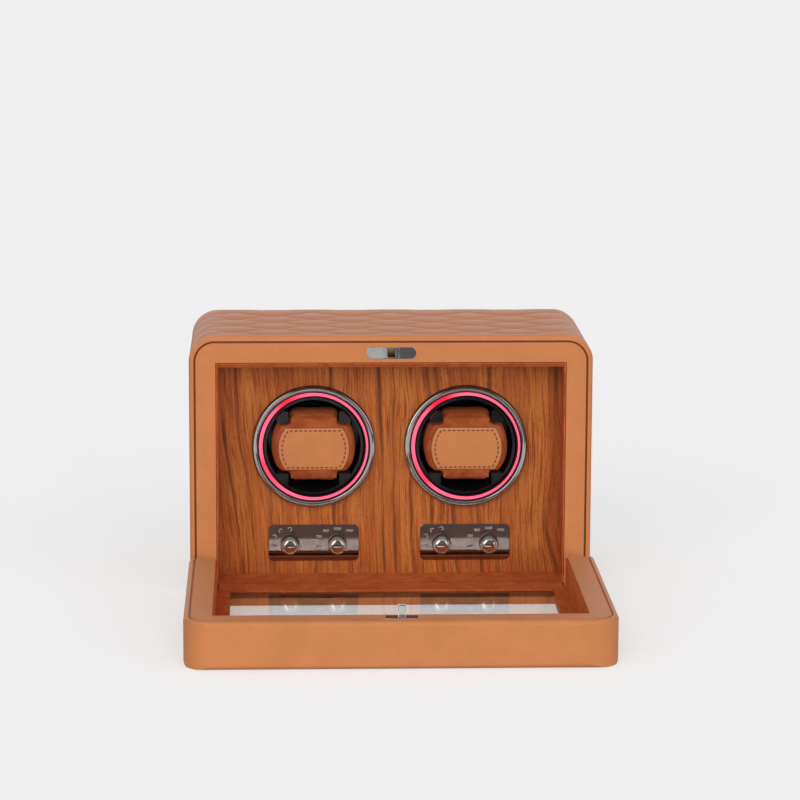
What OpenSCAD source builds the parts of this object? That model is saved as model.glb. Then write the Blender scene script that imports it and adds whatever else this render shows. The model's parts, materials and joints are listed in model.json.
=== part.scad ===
// Double watch winder box: an upright leather case whose glazed front drops forward on a long hinge
// and lies flat before it. Two rotors turn behind a wooden fascia, each driven by a belt.
// Lengths are in millimetres. Inside each module y = 0 is the plane of the case rim, +y is behind it.

/* [Case] */
// Overall width
case_w = 280; // [262:1:330]
// Overall height
case_h = 182; // [172:1:220]
// Depth from the rim to the back
case_d = 136; // [126:1:180]
// Width of the leather rim around the opening
rim_w = 18.4; // [17:0.2:20]
// Radius of the two upper corners
corner_r = 18; // [12:1:22]
// Radius of the rounded back edges
back_r = 20; // [8:1:22]
// Radius of the two lower corners
foot_r = 4; // [2:0.5:6]
// Rounding of the rim's outer edge
edge_r = 3; // [1:0.5:4]
// Thickness of the padded leather cover
wrap_t = 3; // [2:0.5:4]
// Thickness of the smooth leather on the rim
rim_leather_t = 2; // [1:0.5:3]
// Depth of the smooth collar behind the rim
collar_d = 8; // [6:1:14]
// Distance of the rim's sewn groove from the outer edge
groove_inset = 4; // [3.5:0.1:5]
// Width of the sewn groove
groove_w = 1.4; // [0.8:0.1:1.8]
// Depth of the sewn groove
groove_depth = 1.2; // [0.5:0.1:1.5]
// Thickness of the felt under the case
felt_t = 1; // [0.5:0.1:2]
// Thickness of the floor board
board_t = 5.3; // [4.5:0.1:6.5]
// Thickness of the suede lining
lining_t = 1.2; // [0.8:0.1:1.6]
// Thickness of the wooden back wall
back_wall_t = 12; // [8:1:16]

/* [Back panel] */
// Width of the removable back panel
panel_w = 190; // [150:1:220]
// Height of the removable back panel
panel_h = 130; // [110:1:134]
// Height of the panel's centre
panel_z = 92; // [88:1:94]
// Thickness of the back panel
panel_t = 5; // [4:0.5:7]
// Width of the ledge that the panel rests on
panel_ledge = 10; // [7:1:14]
// Distance of the power inlet from the middle
jack_x = 62; // [40:1:64]
// Height of the power inlet
jack_z = 48; // [46:1:60]

/* [Fascia] */
// Depth of the fascia behind the rim
fascia_recess = 27; // [24:1:34]
// Thickness of the wooden fascia
fascia_t = 4; // [3:0.5:6]
// Width of the battens behind the fascia
batten_w = 8; // [5:1:9]
// Depth of the battens behind the fascia
batten_d = 10; // [6:1:16]

/* [Lid] */
// Thickness of the lid
lid_t = 31.5; // [29:0.5:36]
// Gap between the closed lid and the rim
lid_gap = 1.5; // [1.4:0.1:2.5]
// Height of the closed lid's lower end
lid_low = 5.5; // [4:0.5:6]
// Thickness of the lid's outer leaf under the pane
lip_t = 5.2; // [4.2:0.1:5.4]
// Thickness of the glass pane
pane_t = 3; // [2:0.5:4]
// Thickness of the suede ledge over the pane's edge
retainer_t = 1.5; // [1:0.1:2.5]
// Width of the ledge around the window
ledge_w = 10; // [7:0.5:14]
// Width of the outer leaf beside the hinge
hinge_lip_w = 17.2; // [12:0.2:24]
// Width of the slim strip beside the hinge
hinge_strip_w = 1.8; // [1.2:0.2:3]

/* [Hinge] */
// Outer radius of the hinge knuckles
knuckle_r = 1.6; // [1.4:0.1:1.8]
// Radius of the hinge pin
pin_r = 0.8; // [0.6:0.1:0.9]
// Running clearance of the pin
pin_clear = 0.05; // [0.03:0.01:0.08]
// Thickness of each hinge leaf
leaf_t = 0.7; // [0.5:0.1:0.9]
// Depth of the hinge axis below the floor's surface
hinge_drop = 1; // [0.9:0.1:1.2]
// Distance of the hinge from each end of the tongue
hinge_inset = 4.8; // [2:0.2:20]
// Number of knuckles
knuckles = 10; // [6:2:14]
// Screws in each leaf
leaf_screws = 5; // [3:1:6]

/* [Winders] */
// Distance of each rotor's axis from the middle
winder_x = 53.5; // [51:0.5:56]
// Height of the rotor axes
winder_z = 99.5; // [97:0.5:104]
// Outer radius of the chrome bezel
bezel_r = 43.25; // [42:0.25:46]
// Radial width of the bezel
bezel_w = 4.6; // [3.8:0.1:5]
// Height of the bezel in front of the fascia
bezel_h = 6.5; // [4:0.5:8]
// Outer radius of the rotor cup
cup_r = 35; // [34:0.5:35.5]
// Wall of the rotor cup
cup_wall = 2; // [1.5:0.1:2.5]
// Length of the rotor cup
cup_len = 49; // [44:1:54]
// Gap between the rotor cup and the light ring
cup_gap = 0.7; // [0.4:0.1:1]
// Thickness of the light ring
light_t = 3; // [2:0.5:4]
// Thickness of the ring of lamps behind it
lamp_board_t = 1.6; // [1:0.2:2]
// Wall of the winder housing
housing_wall = 2; // [1.5:0.1:2.2]
// Length of the housing behind the fascia
housing_len = 49; // [47:1:56]
// Thickness of the housing's back
housing_back_t = 4; // [3:0.5:5]
// Radius of the rotor shaft
shaft_r = 3; // [2:0.25:3.5]
// Running clearance of the shafts
shaft_clear = 0.05; // [0.03:0.01:0.08]

/* [Cushions] */
// Width of the cushion's round middle
cushion_w = 60; // [54:0.5:62]
// Height of the cushion's middle
cushion_mid_h = 35.6; // [32:0.2:37]
// Width of the cushion's strap band
cushion_band_w = 35; // [30:0.5:37]
// Height of the cushion
cushion_h = 47; // [44:0.5:48]
// Depth of the cushion
cushion_d = 42; // [34:1:44]
// Distance of the cushion's face in front of the fascia
cushion_proud = 11; // [6:1:14]
// Width of the leather patch
patch_w = 49; // [42:0.5:50]
// Height of the leather patch
patch_h = 29; // [24:0.5:32]
// Thickness of the leather patch
patch_t = 1.2; // [0.8:0.1:2]
// Gap between the cushion and the cradle
cushion_gap = 0.3; // [0.2:0.05:0.5]
// How far the cradle's ears stand proud of the cup's mouth
ear_proud = 8; // [0:0.5:8.5]

/* [Controls] */
// Width of each control plate
plate_w = 63.5; // [58:0.5:66]
// Height of each control plate
plate_h = 26; // [22:0.5:28]
// Thickness of each control plate
plate_t = 1; // [0.8:0.1:1.5]
// Height of the plates' centre
plate_z = 30; // [29:0.5:31]
// Corner radius of each plate
plate_r = 3.5; // [2:0.5:5]
// Radius of the knobs
knob_r = 6.75; // [5.5:0.25:7]
// Length of the knobs
knob_h = 9.7; // [7:0.1:12]
// Distance between the two knobs of a plate
knob_pitch = 33.4; // [30:0.2:34]
// Height of the knobs' axes
knob_z = 29.3; // [29:0.1:31]
// Radius of the knob stems
stem_r = 2; // [1.5:0.1:2.5]
// Gap between the knobs and the plate
knob_gap = 0.8; // [0.5:0.1:1.2]

/* [Drive] */
// Radius of the geared motor
motor_r = 11.5; // [9:0.5:12]
// Length of the geared motor
motor_len = 34; // [26:1:38]
// Distance of the motor axis from the rotor axis
motor_reach = 53.5; // [52.5:0.5:56]
// Angle of the motor above the rotor axis, outboard
motor_lean = 45; // [30:1:60]
// Belt radius on the rotor pulley
pulley_r = 18; // [14:0.5:20]
// Belt radius on the motor pulley
motor_pulley_r = 4.5; // [4:0.5:6]
// Thickness of the belt
belt_t = 2; // [1.5:0.1:2.5]
// Width of the belt
belt_w = 3; // [2:0.5:4]
// Radius of the motor shaft
motor_shaft_r = 1.25; // [1:0.25:1.5]

/* [Catch] */
// Width of the catch plate on the rim
strike_w = 34.6; // [30:0.2:40]
// Height of the catch plate on the rim
strike_h = 8.2; // [7.6:0.2:9]
// Distance of the catch below the case's top
catch_drop = 11.7; // [11.2:0.1:12]
// Width of the tongue on the lid
prong_w = 4.7; // [4:0.1:5]
// Thickness of the tongue
prong_t = 2.5; // [2:0.1:2.8]
// Length of the tongue
prong_h = 9; // [7:0.5:9.5]
// Width of the tongue's plate on the lid
keeper_w = 21; // [18:0.5:24]

/* [Hidden] */
$fn = 96;
left = -1;
right = 1;
// Small overrun of a cut past a face
cut = 1;

// Case
half_w = case_w / 2;
inner_half_w = half_w - rim_w;
inner_top = case_h - rim_w;
board_top = felt_t + board_t;
floor_top = board_top + lining_t;
recess_half_w = inner_half_w - lining_t;
recess_top = inner_top - lining_t;
fascia_back = fascia_recess + fascia_t;
cavity_back = case_d - wrap_t - back_wall_t;
panel_front = case_d - panel_t;
panel_gap = 0.2;
panel_corner_r = 6;

// Hinge and lid
hinge_z = floor_top - hinge_drop;
hinge_y = hinge_z - lid_t - lid_gap;
lid_near = hinge_y - (case_h - hinge_z);
lid_far = hinge_y + hinge_z - lid_low;
lid_side_gap = 0.6;
tongue_half_w = recess_half_w - lid_side_gap;
leaf_play = 0.1;
case_hinge_face = hinge_y + leaf_play + leaf_t;
lid_hinge_face = hinge_y - leaf_play - leaf_t;
knuckle_clear = 0.4;
tray_near = lid_near + rim_w;
pane_top = lip_t + pane_t;
retainer_top = pane_top + retainer_t;
pane_far = hinge_y - knuckle_r - 2 * knuckle_clear;
window_half_w = inner_half_w - ledge_w;
window_far = lid_hinge_face - hinge_lip_w;
window_near = tray_near + ledge_w;
pane_play = 0.4;
hinge_len = 2 * (tongue_half_w - hinge_inset);
knuckle_len = hinge_len / knuckles;
knuckle_gap = 0.3;
leaf_low = felt_t + 0.2;
leaf_top = hinge_z - knuckle_r - 0.3;
screw_z = (leaf_low + leaf_top) / 2;
leaf_screw_r = 0.75;
leaf_screw_head_r = 1.3;
leaf_screw_len = 12;

// Winders
bezel_in = bezel_r - bezel_w;
bezel_round = bezel_w / 2;
light_out = bezel_in - 0.1;
light_in = cup_r + cup_gap;
light_front = fascia_recess - 2;
lamp_front = light_front + light_t;
housing_front = lamp_front + lamp_board_t;
fascia_hole_r = bezel_in + 0.9;
housing_r = fascia_hole_r - 0.2;
housing_lip_r = light_in + 0.5;
flange_w = 6.7;
flange_r = housing_r + flange_w;
flange_t = 2.5;
flange_screw_r = housing_r + flange_w / 2;
housing_back = fascia_back + housing_len;
mount_y = housing_back + housing_back_t;
bush_wall = 2;
bush_flange_t = 1;
bush_r = shaft_r + bush_wall;
bush_stand = 5;
bush_front = housing_back - bush_flange_t;
bush_back = mount_y + bush_stand;
cup_front = fascia_recess - 1;
cup_back = cup_front + cup_len;
cup_floor_t = 3;
hub_r = 8;
hub_len = 6;
hub_front = cup_back - cup_floor_t - hub_len;
pulley_gap = 1;
pulley_front = bush_back + pulley_gap;
pulley_flange_t = 1;
belt_play = 0.3;
pulley_len = belt_w + 2 * belt_play + 2 * pulley_flange_t;
flange_rise = belt_t + 0.2;
shaft_back = pulley_front + pulley_len + pulley_gap;
bracket_t = 2;
motor_bore_len = 14;

// Cushions
cushion_front = fascia_recess - cushion_proud;
cushion_back = cushion_front + cushion_d;
ear_front = cup_front - ear_proud;
ear_reach = 8;

// Controls
plate_front = fascia_recess - plate_t;
knob_back = plate_front - knob_gap;
knob_front = knob_back - knob_h;
switch_bush_r = stem_r + 1.5;
switch_size = 13;
switch_d = 8;
switch_back = fascia_back + switch_d;
stem_back = switch_back - 2;
control_board_t = 1.6;
control_board_h = 27;
board_margin = 4;
control_board_half_w = winder_x + knob_pitch / 2 + switch_size / 2 + board_margin;
flutes = 24;
flute_r = 0.5;
mark_r = 0.9;
mark_depth = 0.5;
// Clock angles that the knob marks point to at rest
off_angle = -120;
turns_angle_left = 0;
turns_angle_right = 40;

// Catch
catch_z = case_h - catch_drop;
keeper_y = hinge_y - (catch_z - hinge_z);
strike_t = 1;
strike_proud = 0.5;
slot_w = prong_w + 0.9;
slot_play = 3.6;
slot_h = prong_t + slot_play;
catch_box_w = 12;
catch_box_h = slot_h + 1.4;
catch_box_wall = 0.7;
catch_reach = 3;
catch_box_back = prong_h + catch_reach;
clip_t = 0.6;
clip_play = 0.15;
keeper_t = 1;
keeper_h = 8;
keeper_proud = 0.2;
strike_back = strike_t - strike_proud;

// ---- Shared helpers ----

// Moves children from the rim's frame into the part's own frame
module from_rim() {
    translate([0, -case_d / 2, 0]) children();
}

// Extrudes an outline given in x and z from depth y0 to depth y1
module front_extrude(y0, y1) {
    translate([0, y1, 0]) rotate([90, 0, 0]) linear_extrude(height = y1 - y0) children();
}

// Extrudes an outline given in y and z from x0 to x1
module side_extrude(x0, x1) {
    translate([x0, 0, 0]) rotate([90, 0, 90]) linear_extrude(height = x1 - x0) children();
}

// Extrudes an outline given in x and y from z0 to z1
module plan_extrude(z0, z1) {
    translate([0, 0, z0]) linear_extrude(height = z1 - z0) children();
}

// Box between two corners
module box(low, high) {
    translate(low) cube(high - low);
}

// Solid rod along y
module rod_y(r, y0, y1) {
    translate([0, y0, 0]) rotate([-90, 0, 0]) cylinder(r = r, h = y1 - y0);
}

// Tube along y
module tube_y(r_in, r_out, y0, y1) {
    difference() {
        rod_y(r_out, y0, y1);
        rod_y(r_in, y0 - cut, y1 + cut);
    }
}

// Solid turned about the y axis from an outline in radius and y
module turned_y() {
    rotate([-90, 0, 0]) rotate_extrude() children();
}

// What is left of a square corner outside its rounding
module corner_waste(r) {
    difference() {
        translate([-cut, -cut]) square(r + cut);
        translate([r, r]) circle(r = r);
    }
}

// Rectangle with its own radius at each corner: low x low y, high x low y, high x high y, low x high y
module soft_rect(low, high, r) {
    difference() {
        translate(low) square(high - low);
        translate(low) corner_waste(r[0]);
        translate([high.x, low.y]) mirror([1, 0]) corner_waste(r[1]);
        translate(high) rotate(180) corner_waste(r[2]);
        translate([low.x, high.y]) mirror([0, 1]) corner_waste(r[3]);
    }
}

// Places a child at one winder's axis
module at_winder(side) {
    translate([side * winder_x, 0, winder_z]) children();
}

// Places a child at one knob's axis: place is left or right on its plate
module at_knob(side, place) {
    translate([side * winder_x + place * knob_pitch / 2, 0, knob_z]) children();
}

// Countersunk screw along +y, its head flush at y = 0
module countersunk(r, head_r, len) {
    turned_y() polygon([[0, 0], [head_r, 0], [r, head_r - r], [r, len], [0, len]]);
}

// ---- Case ----

// Rounded outer form of the case, drawn in by inset at the sides, the top and the back
module case_envelope(inset) {
    w = half_w - inset;
    top = case_h - inset;
    back = case_d - inset;
    r_top = corner_r - inset;
    r_back = back_r - inset;
    intersection() {
        front_extrude(0, back) soft_rect([-w, felt_t], [w, top], [foot_r, foot_r, r_top, r_top]);
        plan_extrude(0, top) soft_rect([-w, 0], [w, back], [edge_r, edge_r, r_back, r_back]);
        side_extrude(-w, w) soft_rect([0, felt_t], [back, top], [edge_r, foot_r, r_back, edge_r]);
    }
}

// Outline of the removable panel, larger by grow
module panel_outline(grow) {
    w = panel_w / 2 + grow;
    h = panel_h / 2 + grow;
    r = panel_corner_r;
    translate([0, panel_z]) soft_rect([-w, -h], [w, h], [r, r, r, r]);
}

// Clearance that the hinge barrel needs in the boards around it
module barrel_room() {
    r = knuckle_r + knuckle_clear;
    translate([-inner_half_w, hinge_y, hinge_z]) rotate([0, 90, 0]) cylinder(r = r, h = 2 * inner_half_w);
    box([-inner_half_w, hinge_y - r, hinge_z], [inner_half_w, hinge_y + r, floor_top + cut]);
}

// Shifts children to each leaf screw in turn
module at_leaf_screws() {
    step = hinge_len / leaf_screws;
    for (i = [0 : leaf_screws - 1]) {
        translate([-hinge_len / 2 + (i + 0.5) * step, 0, screw_z]) children();
    }
}

// Outline of the catch plate, drawn in by inset
module strike_outline(inset) {
    r = strike_h / 2 - inset;
    reach = strike_w / 2 - strike_h / 2;
    for (x = [-reach, reach]) translate([x, catch_z]) circle(r = r);
    translate([-reach, catch_z - r]) square([2 * reach, 2 * r]);
}

// Room for the catch in the case's upper rail
module catch_pocket() {
    front_extrude(-cut, strike_back) strike_outline(0);
    box([-catch_box_w / 2, -cut, catch_z - catch_box_h / 2],
        [catch_box_w / 2, catch_box_back, catch_z + catch_box_h / 2]);
}

module base_felt() {
    w = half_w - foot_r;
    back = case_d - foot_r;
    r = back_r - foot_r;
    color("dimgray") from_rim() plan_extrude(0, felt_t) {
        soft_rect([-w, edge_r], [w, back], [1, 1, r, r]);
        translate([-tongue_half_w, case_hinge_face]) square([2 * tongue_half_w, edge_r + cut - case_hinge_face]);
    }
}

module case_carcass() {
    color("burlywood") from_rim() difference() {
        union() {
            intersection() {
                case_envelope(wrap_t);
                box([-half_w, rim_leather_t, 0], [half_w, case_d, case_h]);
            }
            box([-tongue_half_w, case_hinge_face, felt_t], [tongue_half_w, rim_leather_t + cut, board_top]);
        }
        box([-inner_half_w, rim_leather_t - cut, board_top], [inner_half_w, cavity_back, inner_top]);
        front_extrude(cavity_back - cut, case_d) panel_outline(-panel_ledge);
        front_extrude(panel_front, case_d) panel_outline(0);
        barrel_room();
        catch_pocket();
        at_leaf_screws() translate([0, case_hinge_face - leaf_t, 0])
            countersunk(leaf_screw_r, leaf_screw_head_r, leaf_screw_len);
        at_panel_screws() countersunk(panel_screw_r, panel_screw_head_r, panel_screw_len);
    }
}

module quilted_wrap() {
    color("peru") from_rim() difference() {
        case_envelope(0);
        case_envelope(wrap_t);
        box([-half_w - cut, -cut, -cut], [half_w + cut, collar_d, case_h + cut]);
        box([-half_w + wrap_t, 0, -cut], [half_w - wrap_t, case_d - wrap_t, foot_r]);
        front_extrude(cavity_back, case_d + cut) panel_outline(panel_gap);
    }
}

module front_collar() {
    grooved = groove_inset - groove_w / 2;
    inner = groove_inset + groove_w / 2;
    color("chocolate") from_rim() difference() {
        case_envelope(0);
        box([-half_w - cut, collar_d, -cut], [half_w + cut, case_d + cut, case_h + cut]);
        intersection() {
            case_envelope(wrap_t);
            box([-half_w, rim_leather_t, 0], [half_w, case_d, case_h]);
        }
        box([-inner_half_w, -cut, -cut], [inner_half_w, collar_d + cut, inner_top]);
        front_extrude(-cut, groove_depth) difference() {
            groove_edge(grooved);
            groove_edge(inner);
        }
        catch_pocket();
    }
}

// Outline that follows the rim at a distance and runs out at the bottom
module groove_edge(inset) {
    w = half_w - inset;
    r = corner_r - inset;
    soft_rect([-w, -2 * cut], [w, case_h - inset], [0.1, 0.1, r, r]);
}

module case_lining() {
    color("sienna") from_rim() {
        difference() {
            box([-inner_half_w, 0, board_top], [inner_half_w, fascia_recess, inner_top]);
            box([-recess_half_w, -cut, floor_top], [recess_half_w, fascia_recess + cut, recess_top]);
        }
        difference() {
            box([-tongue_half_w, case_hinge_face, board_top], [tongue_half_w, 0, floor_top]);
            barrel_room();
        }
    }
}

module fascia_battens() {
    w = inner_half_w;
    color("burlywood") from_rim() difference() {
        box([-w, fascia_back, board_top], [w, fascia_back + batten_d, inner_top]);
        box([-w + batten_w, fascia_back - cut, board_top + batten_w / 2],
            [w - batten_w, fascia_back + batten_d + cut, inner_top - batten_w]);
    }
}

// Leather-covered service panel in the back
panel_screw_r = 1.5;
panel_screw_head_r = 2.8;
panel_screw_len = 10;
panel_screw_inset = 5;

// Places children at the four panel screws, heads towards the back
module at_panel_screws() {
    x = panel_w / 2 - panel_screw_inset;
    z = panel_h / 2 - panel_screw_inset;
    for (sx = [-1, 1]) for (sz = [-1, 1]) {
        translate([sx * x, case_d, panel_z + sz * z]) rotate([180, 0, 0]) children();
    }
}

module back_panel() {
    color("peru") from_rim() difference() {
        front_extrude(panel_front, case_d) panel_outline(0);
        at_panel_screws() countersunk(panel_screw_r, panel_screw_head_r, panel_screw_len);
        translate([jack_x, 0, jack_z]) rod_y(inlet_r, panel_front - cut, case_d + cut);
    }
}

module back_panel_screws() {
    color("silver") from_rim() at_panel_screws()
        countersunk(panel_screw_r, panel_screw_head_r, panel_screw_len);
}

// Power inlet: a round socket with a centre contact, pushed through the panel from inside
inlet_r = 5;
inlet_socket_r = 2.75;
inlet_contact_r = 1;
inlet_len = 14;
inlet_flange_r = 7;

module power_inlet() {
    front = case_d - inlet_len;
    color("black") from_rim() translate([jack_x, 0, jack_z]) {
        tube_y(inlet_socket_r, inlet_r, front, case_d);
        tube_y(inlet_r - 0.1, inlet_flange_r, front, panel_front);
        rod_y(inlet_socket_r + 0.1, front, front + 3);
        rod_y(inlet_contact_r, front, case_d - 2);
    }
}

// ---- Fascia and controls ----

module wood_fascia() {
    color("saddlebrown") from_rim() difference() {
        box([-recess_half_w, fascia_recess, floor_top], [recess_half_w, fascia_back, recess_top]);
        for (side = [left, right]) {
            at_winder(side) rod_y(fascia_hole_r, fascia_recess - cut, fascia_back + cut);
            for (place = [left, right]) {
                at_knob(side, place) rod_y(switch_bush_r, fascia_recess - cut, fascia_back + cut);
            }
            at_flange_screws(side) rod_y(flange_hole_r, fascia_back - screw_bite, fascia_back + cut);
        }
    }
}

module control_plate(side) {
    w = plate_w / 2;
    h = plate_h / 2;
    color("silver") from_rim() difference() {
        front_extrude(plate_front, fascia_recess) translate([side * winder_x, plate_z])
            soft_rect([-w, -h], [w, h], [plate_r, plate_r, plate_r, plate_r]);
        for (place = [left, right]) {
            at_knob(side, place) rod_y(switch_bush_r, plate_front - cut, fascia_recess + cut);
        }
    }
}

module rotary_switches(side) {
    half = switch_size / 2;
    color("darkslategray") from_rim() for (place = [left, right]) at_knob(side, place) difference() {
        union() {
            rod_y(switch_bush_r, plate_front - knob_gap / 2, fascia_back + cut);
            box([-half, fascia_back, -half], [half, switch_back, half]);
        }
        rod_y(stem_r + shaft_clear, knob_back - cut, stem_back + knob_gap);
    }
}

module knob(side, place, angle) {
    color("lightgray") from_rim() at_knob(side, place) {
        difference() {
            turned_y() polygon([[0, knob_front], [knob_r - 2.2, knob_front],
                [knob_r - 0.9, knob_front + 0.6], [knob_r - 0.4, knob_front + 2.2], [0, knob_front + 2.2]]);
            rotate([0, angle, 0]) translate([0, 0, knob_r - 2.6])
                rod_y(mark_r, knob_front - cut, knob_front + mark_depth);
        }
        front_extrude(knob_front + 2, knob_back) fluted_outline();
        rod_y(stem_r, knob_back - 0.5, stem_back);
    }
}

// Outline of a knob's grip, with its flutes
module fluted_outline() {
    difference() {
        circle(r = knob_r);
        for (i = [0 : flutes - 1]) rotate(i * 360 / flutes)
            translate([knob_r + flute_r / 3, 0]) circle(r = flute_r, $fn = 24);
    }
}

module control_board() {
    w = control_board_half_w;
    z0 = knob_z - control_board_h / 2;
    color("darkgreen") from_rim()
        box([-w, switch_back, z0], [w, switch_back + control_board_t, z0 + control_board_h]);
}

// ---- Winders ----

flange_hole_r = 1.25;
screw_bite = 3;
flange_screw_head_r = 2.4;
flange_screw_head_t = 1.5;

// Places children at the four screws of one housing flange
module at_flange_screws(side) {
    for (a = [45 : 90 : 315]) at_winder(side) rotate([0, a, 0]) translate([flange_screw_r, 0, 0]) children();
}

module bezel(side) {
    crown = fascia_recess - bezel_h + bezel_round;
    color("silver") from_rim() at_winder(side) turned_y() {
        translate([bezel_in + bezel_round, crown]) circle(r = bezel_round, $fn = 32);
        translate([bezel_in, crown]) square([bezel_w, fascia_recess - crown]);
        translate([bezel_in, fascia_recess - 0.2])
            square([housing_r - bezel_in, housing_front - fascia_recess + 0.2]);
    }
}

module light_ring(side) {
    color("hotpink") from_rim() at_winder(side) tube_y(light_in, light_out, light_front, lamp_front);
}

module lamp_board(side) {
    color("darkgreen") from_rim() at_winder(side)
        tube_y(housing_lip_r, light_out, lamp_front, housing_front);
}

module winder_housing(side) {
    color("dimgray") from_rim() difference() {
        at_winder(side) turned_y() {
            translate([housing_lip_r, housing_front])
                square([housing_r - housing_lip_r, fascia_back - housing_front + 1]);
            translate([housing_r - housing_wall, fascia_back])
                square([housing_wall, mount_y - fascia_back]);
            translate([housing_r - housing_wall, fascia_back])
                square([flange_r - housing_r + housing_wall, flange_t]);
            translate([bush_r, housing_back]) square([housing_r - bush_r, housing_back_t]);
        }
        at_flange_screws(side) rod_y(flange_hole_r, fascia_back - cut, fascia_back + flange_t + cut);
        at_bracket_screws(side) rod_y(flange_hole_r, housing_back - cut, mount_y + cut);
    }
}

module housing_screws() {
    head = fascia_back + flange_t;
    bracket_back = mount_y + bracket_t;
    color("silver") from_rim() for (side = [left, right]) {
        at_flange_screws(side) {
            rod_y(flange_hole_r, fascia_back - screw_bite, head + 0.1);
            rod_y(flange_screw_head_r, head, head + flange_screw_head_t);
        }
        at_bracket_screws(side) {
            rod_y(flange_hole_r, housing_back, bracket_back + 0.1);
            rod_y(flange_screw_head_r, bracket_back, bracket_back + flange_screw_head_t);
        }
    }
}

module shaft_bushes() {
    color("goldenrod") from_rim() for (side = [left, right]) at_winder(side) {
        tube_y(shaft_r + shaft_clear, bush_r, bush_front, bush_back);
        tube_y(bush_r - 0.1, bush_r + bush_wall, mount_y, mount_y + bush_flange_t);
    }
}

// One corner of the cradle that grips the cushion, in the quadrant of sx and sz
module cradle_ear(sx, sz) {
    x0 = cushion_band_w / 2 + cushion_gap;
    z0 = cushion_mid_h / 2 + cushion_gap;
    intersection() {
        box([min(sx * x0, sx * (x0 + ear_reach)), ear_front, min(sz * z0, sz * (z0 + ear_reach))],
            [max(sx * x0, sx * (x0 + ear_reach)), cup_back - cup_floor_t + 0.1,
             max(sz * z0, sz * (z0 + ear_reach))]);
        rod_y(cup_r - cup_wall + 0.1, ear_front, cup_back);
    }
}

module drum_cup(side) {
    color("#1c1c1e") from_rim() at_winder(side) {
        turned_y() {
            translate([cup_r - cup_wall, cup_front]) square([cup_wall, cup_len]);
            translate([shaft_r, cup_back - cup_floor_t]) square([cup_r - shaft_r, cup_floor_t]);
            translate([shaft_r, hub_front]) square([hub_r - shaft_r, hub_len + cup_floor_t]);
        }
        for (sx = [-1, 1]) for (sz = [-1, 1]) cradle_ear(sx, sz);
    }
}

module drum_shaft(side) {
    color("silver") from_rim() at_winder(side) rod_y(shaft_r, hub_front, shaft_back);
}

// Flanged pulley for a flat belt that runs at belt_r, on a bore
module belt_pulley(belt_r, bore_r) {
    root = belt_r - belt_play;
    rim = belt_r + flange_rise;
    y1 = pulley_front + pulley_len;
    turned_y() {
        translate([bore_r, pulley_front]) square([root - bore_r, pulley_len]);
        translate([bore_r, pulley_front]) square([rim - bore_r, pulley_flange_t]);
        translate([bore_r, y1 - pulley_flange_t]) square([rim - bore_r, pulley_flange_t]);
    }
}

module drum_pulley(side) {
    color("whitesmoke") from_rim() at_winder(side) belt_pulley(pulley_r, shaft_r);
}

// Places children on the line from one rotor's axis to its motor, which is their +x
module towards_motor(side) {
    at_winder(side) scale([side, 1, 1]) rotate([0, -motor_lean, 0]) children();
}

// Places children at one motor's axis
module at_motor(side) {
    towards_motor(side) translate([motor_reach, 0, 0]) children();
}

module motor_pulley(side) {
    color("whitesmoke") from_rim() at_motor(side) {
        belt_pulley(motor_pulley_r, motor_shaft_r / 2);
        rod_y(motor_shaft_r, mount_y - motor_bore_len + 1, shaft_back);
    }
}

// Outline of an open belt around both pulleys, drawn at a distance outside their belt radii
module belt_outline(offset_r) {
    hull() {
        circle(r = pulley_r + offset_r, $fn = 48);
        translate([motor_reach, 0]) circle(r = motor_pulley_r + offset_r, $fn = 48);
    }
}

module drive_belt(side) {
    y0 = pulley_front + pulley_flange_t + belt_play;
    color("black") from_rim() towards_motor(side) front_extrude(y0, y0 + belt_w)
        difference() {
            belt_outline(belt_t);
            belt_outline(0);
        }
}

module motor(side) {
    color("gray") from_rim() at_motor(side) difference() {
        union() {
            rod_y(motor_r, mount_y - motor_len * 0.4, mount_y);
            rod_y(motor_r - 1.5, mount_y - motor_len, mount_y - motor_len * 0.4 + 0.1);
        }
        rod_y(motor_shaft_r + shaft_clear, mount_y - motor_bore_len, mount_y + cut);
    }
}

// Places children at the two screws that hold one motor bracket to its housing
module at_bracket_screws(side) {
    for (z = [-1, 1]) towards_motor(side) translate([bracket_screw_x, 0, z * bracket_screw_z]) children();
}

bracket_screw_x = 27;
bracket_screw_z = 7;
bracket_half_h = 12;
bracket_gap = 12;

module motor_bracket(side) {
    inner_x = bush_r + bracket_gap;
    outer_x = motor_reach + motor_r;
    color("lightsteelblue") from_rim() difference() {
        towards_motor(side)
            box([inner_x, mount_y, -bracket_half_h], [outer_x, mount_y + bracket_t, bracket_half_h]);
        at_motor(side) rod_y(motor_shaft_r + 1, mount_y - cut, mount_y + bracket_t + cut);
        at_bracket_screws(side) rod_y(flange_hole_r, mount_y - cut, mount_y + bracket_t + cut);
    }
}

// ---- Cushions ----

module cushion_outline() {
    intersection() {
        circle(r = cushion_w / 2);
        square([cushion_w, cushion_mid_h], center = true);
    }
    square([cushion_band_w, cushion_h], center = true);
}

module cushion(side) {
    color("sienna") from_rim() at_winder(side) front_extrude(cushion_front, cushion_back) cushion_outline();
}

module cushion_patch(side) {
    color("peru") from_rim() at_winder(side) front_extrude(cushion_front - patch_t, cushion_front)
        intersection() {
            circle(r = patch_w / 2);
            square([patch_w, patch_h], center = true);
        }
}

// ---- Catch ----

module strike_plate() {
    block_w = 10.5;
    color("silver") from_rim() difference() {
        union() {
            front_extrude(-strike_proud, strike_back) strike_outline(0);
            box([-block_w / 2, -strike_proud - 0.4, catch_z - strike_h / 2 + 0.4],
                [block_w / 2, 0, catch_z + strike_h / 2 - 0.4]);
        }
        box([-slot_w / 2, -2 * cut, catch_z - slot_h / 2], [slot_w / 2, 2 * cut, catch_z + slot_h / 2]);
    }
}

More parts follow.
